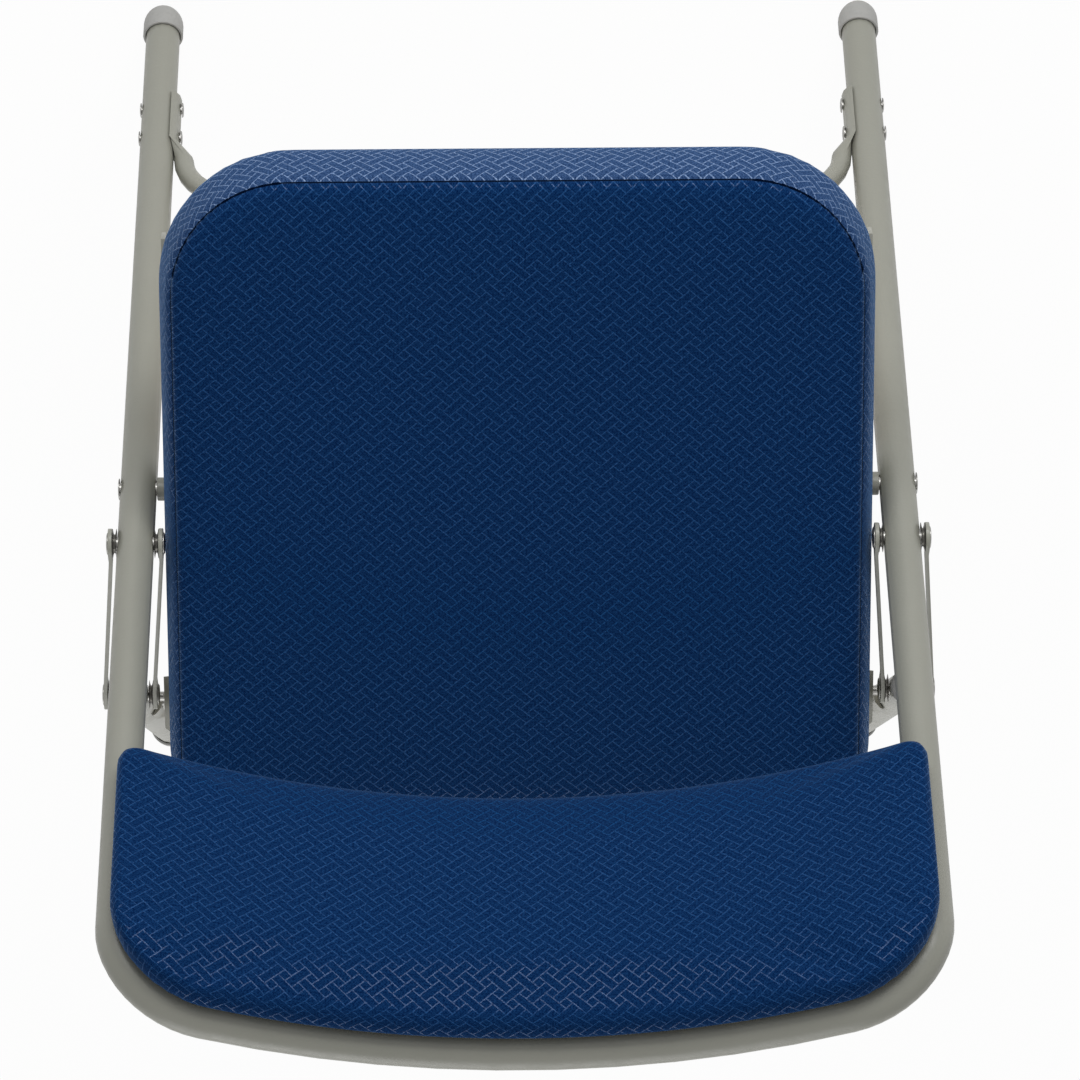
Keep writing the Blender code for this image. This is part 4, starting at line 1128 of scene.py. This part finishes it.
# %% Back pad swelling
pulled_round = points_of(pad_mesh)[:, 2] - PAD_BASE < PAD_RIM - 0.5 * PAD_VOXEL
move_points(pad_mesh, inflate(pad_mesh, pulled_round))
pad_mesh = applied("back_padding", pad_mesh, one_subdivision)
points = points_of(pad_mesh)
_, east, north, _ = pad_outline.measure(points[:, 0], points[:, 1])
wrap = np.clip(PAD_BASE + PAD_RIM - points[:, 2], 0.0, None)
corner_points, _ = corners_of(pad_mesh)
laid = points[:, :2] + np.stack([east, north], axis=1) * wrap[:, None]
lay_cloth(pad_mesh, laid[corner_points])
set_values(pad_mesh, "from_seam", np.full(len(points), NO_SEAM))
print("pad cushion: %d points" % len(points))

# %% [markdown]
# The board's space is cut out while the pad is still flat, in strips that can bend with it. A Curve
# modifier could bend the pad, but the bow is a plain arc, so its depth at each point is one formula.

# %% Back pad on the bow
FRONT_FOOT_Y = -0.237566
TUBE_X = 0.227
BACK_BOW = 0.0511
PAD_BOARD = 0.006
PAD_MARGIN = 0.009
BENDING_STRIPS = 36
bow_radius = (TUBE_X ** 2 + BACK_BOW ** 2) / (2 * BACK_BOW)
bow_chord = math.sqrt(bow_radius ** 2 - TUBE_X ** 2)
pad_seat = (TUBE_RADIUS + TUBE_GAP) * bow_radius / bow_chord

pad_pocket = pocket_mesh(
    pad_outline, PAD_MARGIN - BOARD_GAP, PAD_BASE - POCKET_BELOW, PAD_BASE + PAD_BOARD + BOARD_GAP,
    BENDING_STRIPS,
)
pad_mesh = carved("back_padding", pad_mesh, pad_pocket)
points = points_of(pad_mesh)
behind = np.sqrt(bow_radius ** 2 - points[:, 0] ** 2) - bow_chord - pad_seat - points[:, 2]
bent = np.stack([
    points[:, 0],
    FRONT_FOOT_Y + points[:, 1] * math.sin(FRAME_LEAN) + behind * math.cos(FRAME_LEAN),
    points[:, 1] * math.cos(FRAME_LEAN) - behind * math.sin(FRAME_LEAN),
], axis=1)
move_points(pad_mesh, bent)
add_cushion("back_padding", pad_mesh, "front_frame", "back_cushion")
print("back padding: %d faces" % len(pad_mesh.polygons))

# %% [markdown]
# ## Under the seat
#
# The cover is pulled under the board and stapled. In front of the rails and behind them its hem lies
# flat on the board: a strip of the cushion's own outline, cut off where a rail begins, with a thin
# wall. A flat strip is enough, since the board holds it flat.

# %% Hems under the seat
HEM_OUTER = 0.004
HEM_INNER = 0.024
HEM_CLOTH = 0.0006
RAIL_ROOM = 0.003
rail_low, rail_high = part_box("seat_rail_left")
hem_top = board_low.z - 0.0002


def hem_mesh(name, limit, way):
    """The part of the cover's hem that lies beyond a limit along Y, and its flat area."""
    work = bmesh.new()
    whole = seat_outline.face(work, HEM_OUTER)
    bmesh.ops.inset_region(
        work, faces=whole, thickness=HEM_INNER - HEM_OUTER, use_even_offset=True, use_boundary=True,
    )
    opening = max(work.faces, key=lambda face: face.calc_area())
    bmesh.ops.delete(work, geom=[opening], context="FACES")
    cut_flat(work, (0, limit, 0), (0, way, 0), clear_inner=True)
    area = sum(face.calc_area() for face in work.faces)
    bmesh.ops.translate(work, vec=(0, 0, hem_top - HEM_CLOTH), verts=work.verts)
    raise_faces(work, work.faces[:], HEM_CLOTH)
    mesh = finished(work, name)
    corner_points, _ = corners_of(mesh)
    lay_cloth(mesh, points_of(mesh)[corner_points, :2])
    set_values(mesh, "from_seam", np.full(len(mesh.vertices), NO_SEAM))
    return mesh, area


for name, limit, way in (
    ("seat_hem_front", rail_low.y - RAIL_ROOM, -1), ("seat_hem_rear", rail_high.y + RAIL_ROOM, 1),
):
    mesh, area = hem_mesh(name, limit, way)
    mesh.materials.append(fabric)
    hem = placed(name, mesh)
    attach(hem, "seat")
    corners = points_of(mesh)
    size = corners.max(axis=0) - corners.min(axis=0)
    print("%s: %.0f by %.0f mm, %.0f cm2" % (name, size[0] * 1000, size[1] * 1000, area * 10000))

# %% [markdown]
# A row of wire staples holds each hem. Staples shot by hand are never quite in line, so each is turned
# a little. The turn comes from a sine, so it is the same in every run.

# %% Staples
STAPLE_LENGTH = 0.010
STAPLE_WIRE = 0.0009
STAPLE_SPACING = 0.034
STAPLE_TURN = math.radians(14.0)
STAPLE_ROWS = ((seat_low.y + 0.016, 0.26), (seat_high.y - 0.012, 0.30))

work = bmesh.new()
staple_z = hem_top - HEM_CLOTH - STAPLE_WIRE / 2
for line, width in STAPLE_ROWS:
    count = int(width / STAPLE_SPACING)
    for step in range(count + 1):
        turn = Matrix.Rotation(STAPLE_TURN * math.sin(5.0 * step), 4, "Z")
        spot = Matrix.Translation(((step - count / 2) * STAPLE_SPACING, line, staple_z))
        size = Matrix.Diagonal((STAPLE_LENGTH, STAPLE_WIRE, STAPLE_WIRE, 1.0))
        bmesh.ops.create_cube(work, size=1.0, matrix=spot @ turn @ size)
bmesh.ops.bevel(
    work, geom=work.edges[:], offset=STAPLE_WIRE * 0.3, offset_type="OFFSET", affect="EDGES", segments=2,
    profile=0.5, material=-1,
)
staple_mesh = finished(work, "seat_staples")
staple_mesh.materials.append(plated)
staples = placed("seat_staples", staple_mesh)
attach(staples, "seat")
print("staples: %d faces" % len(staple_mesh.polygons))
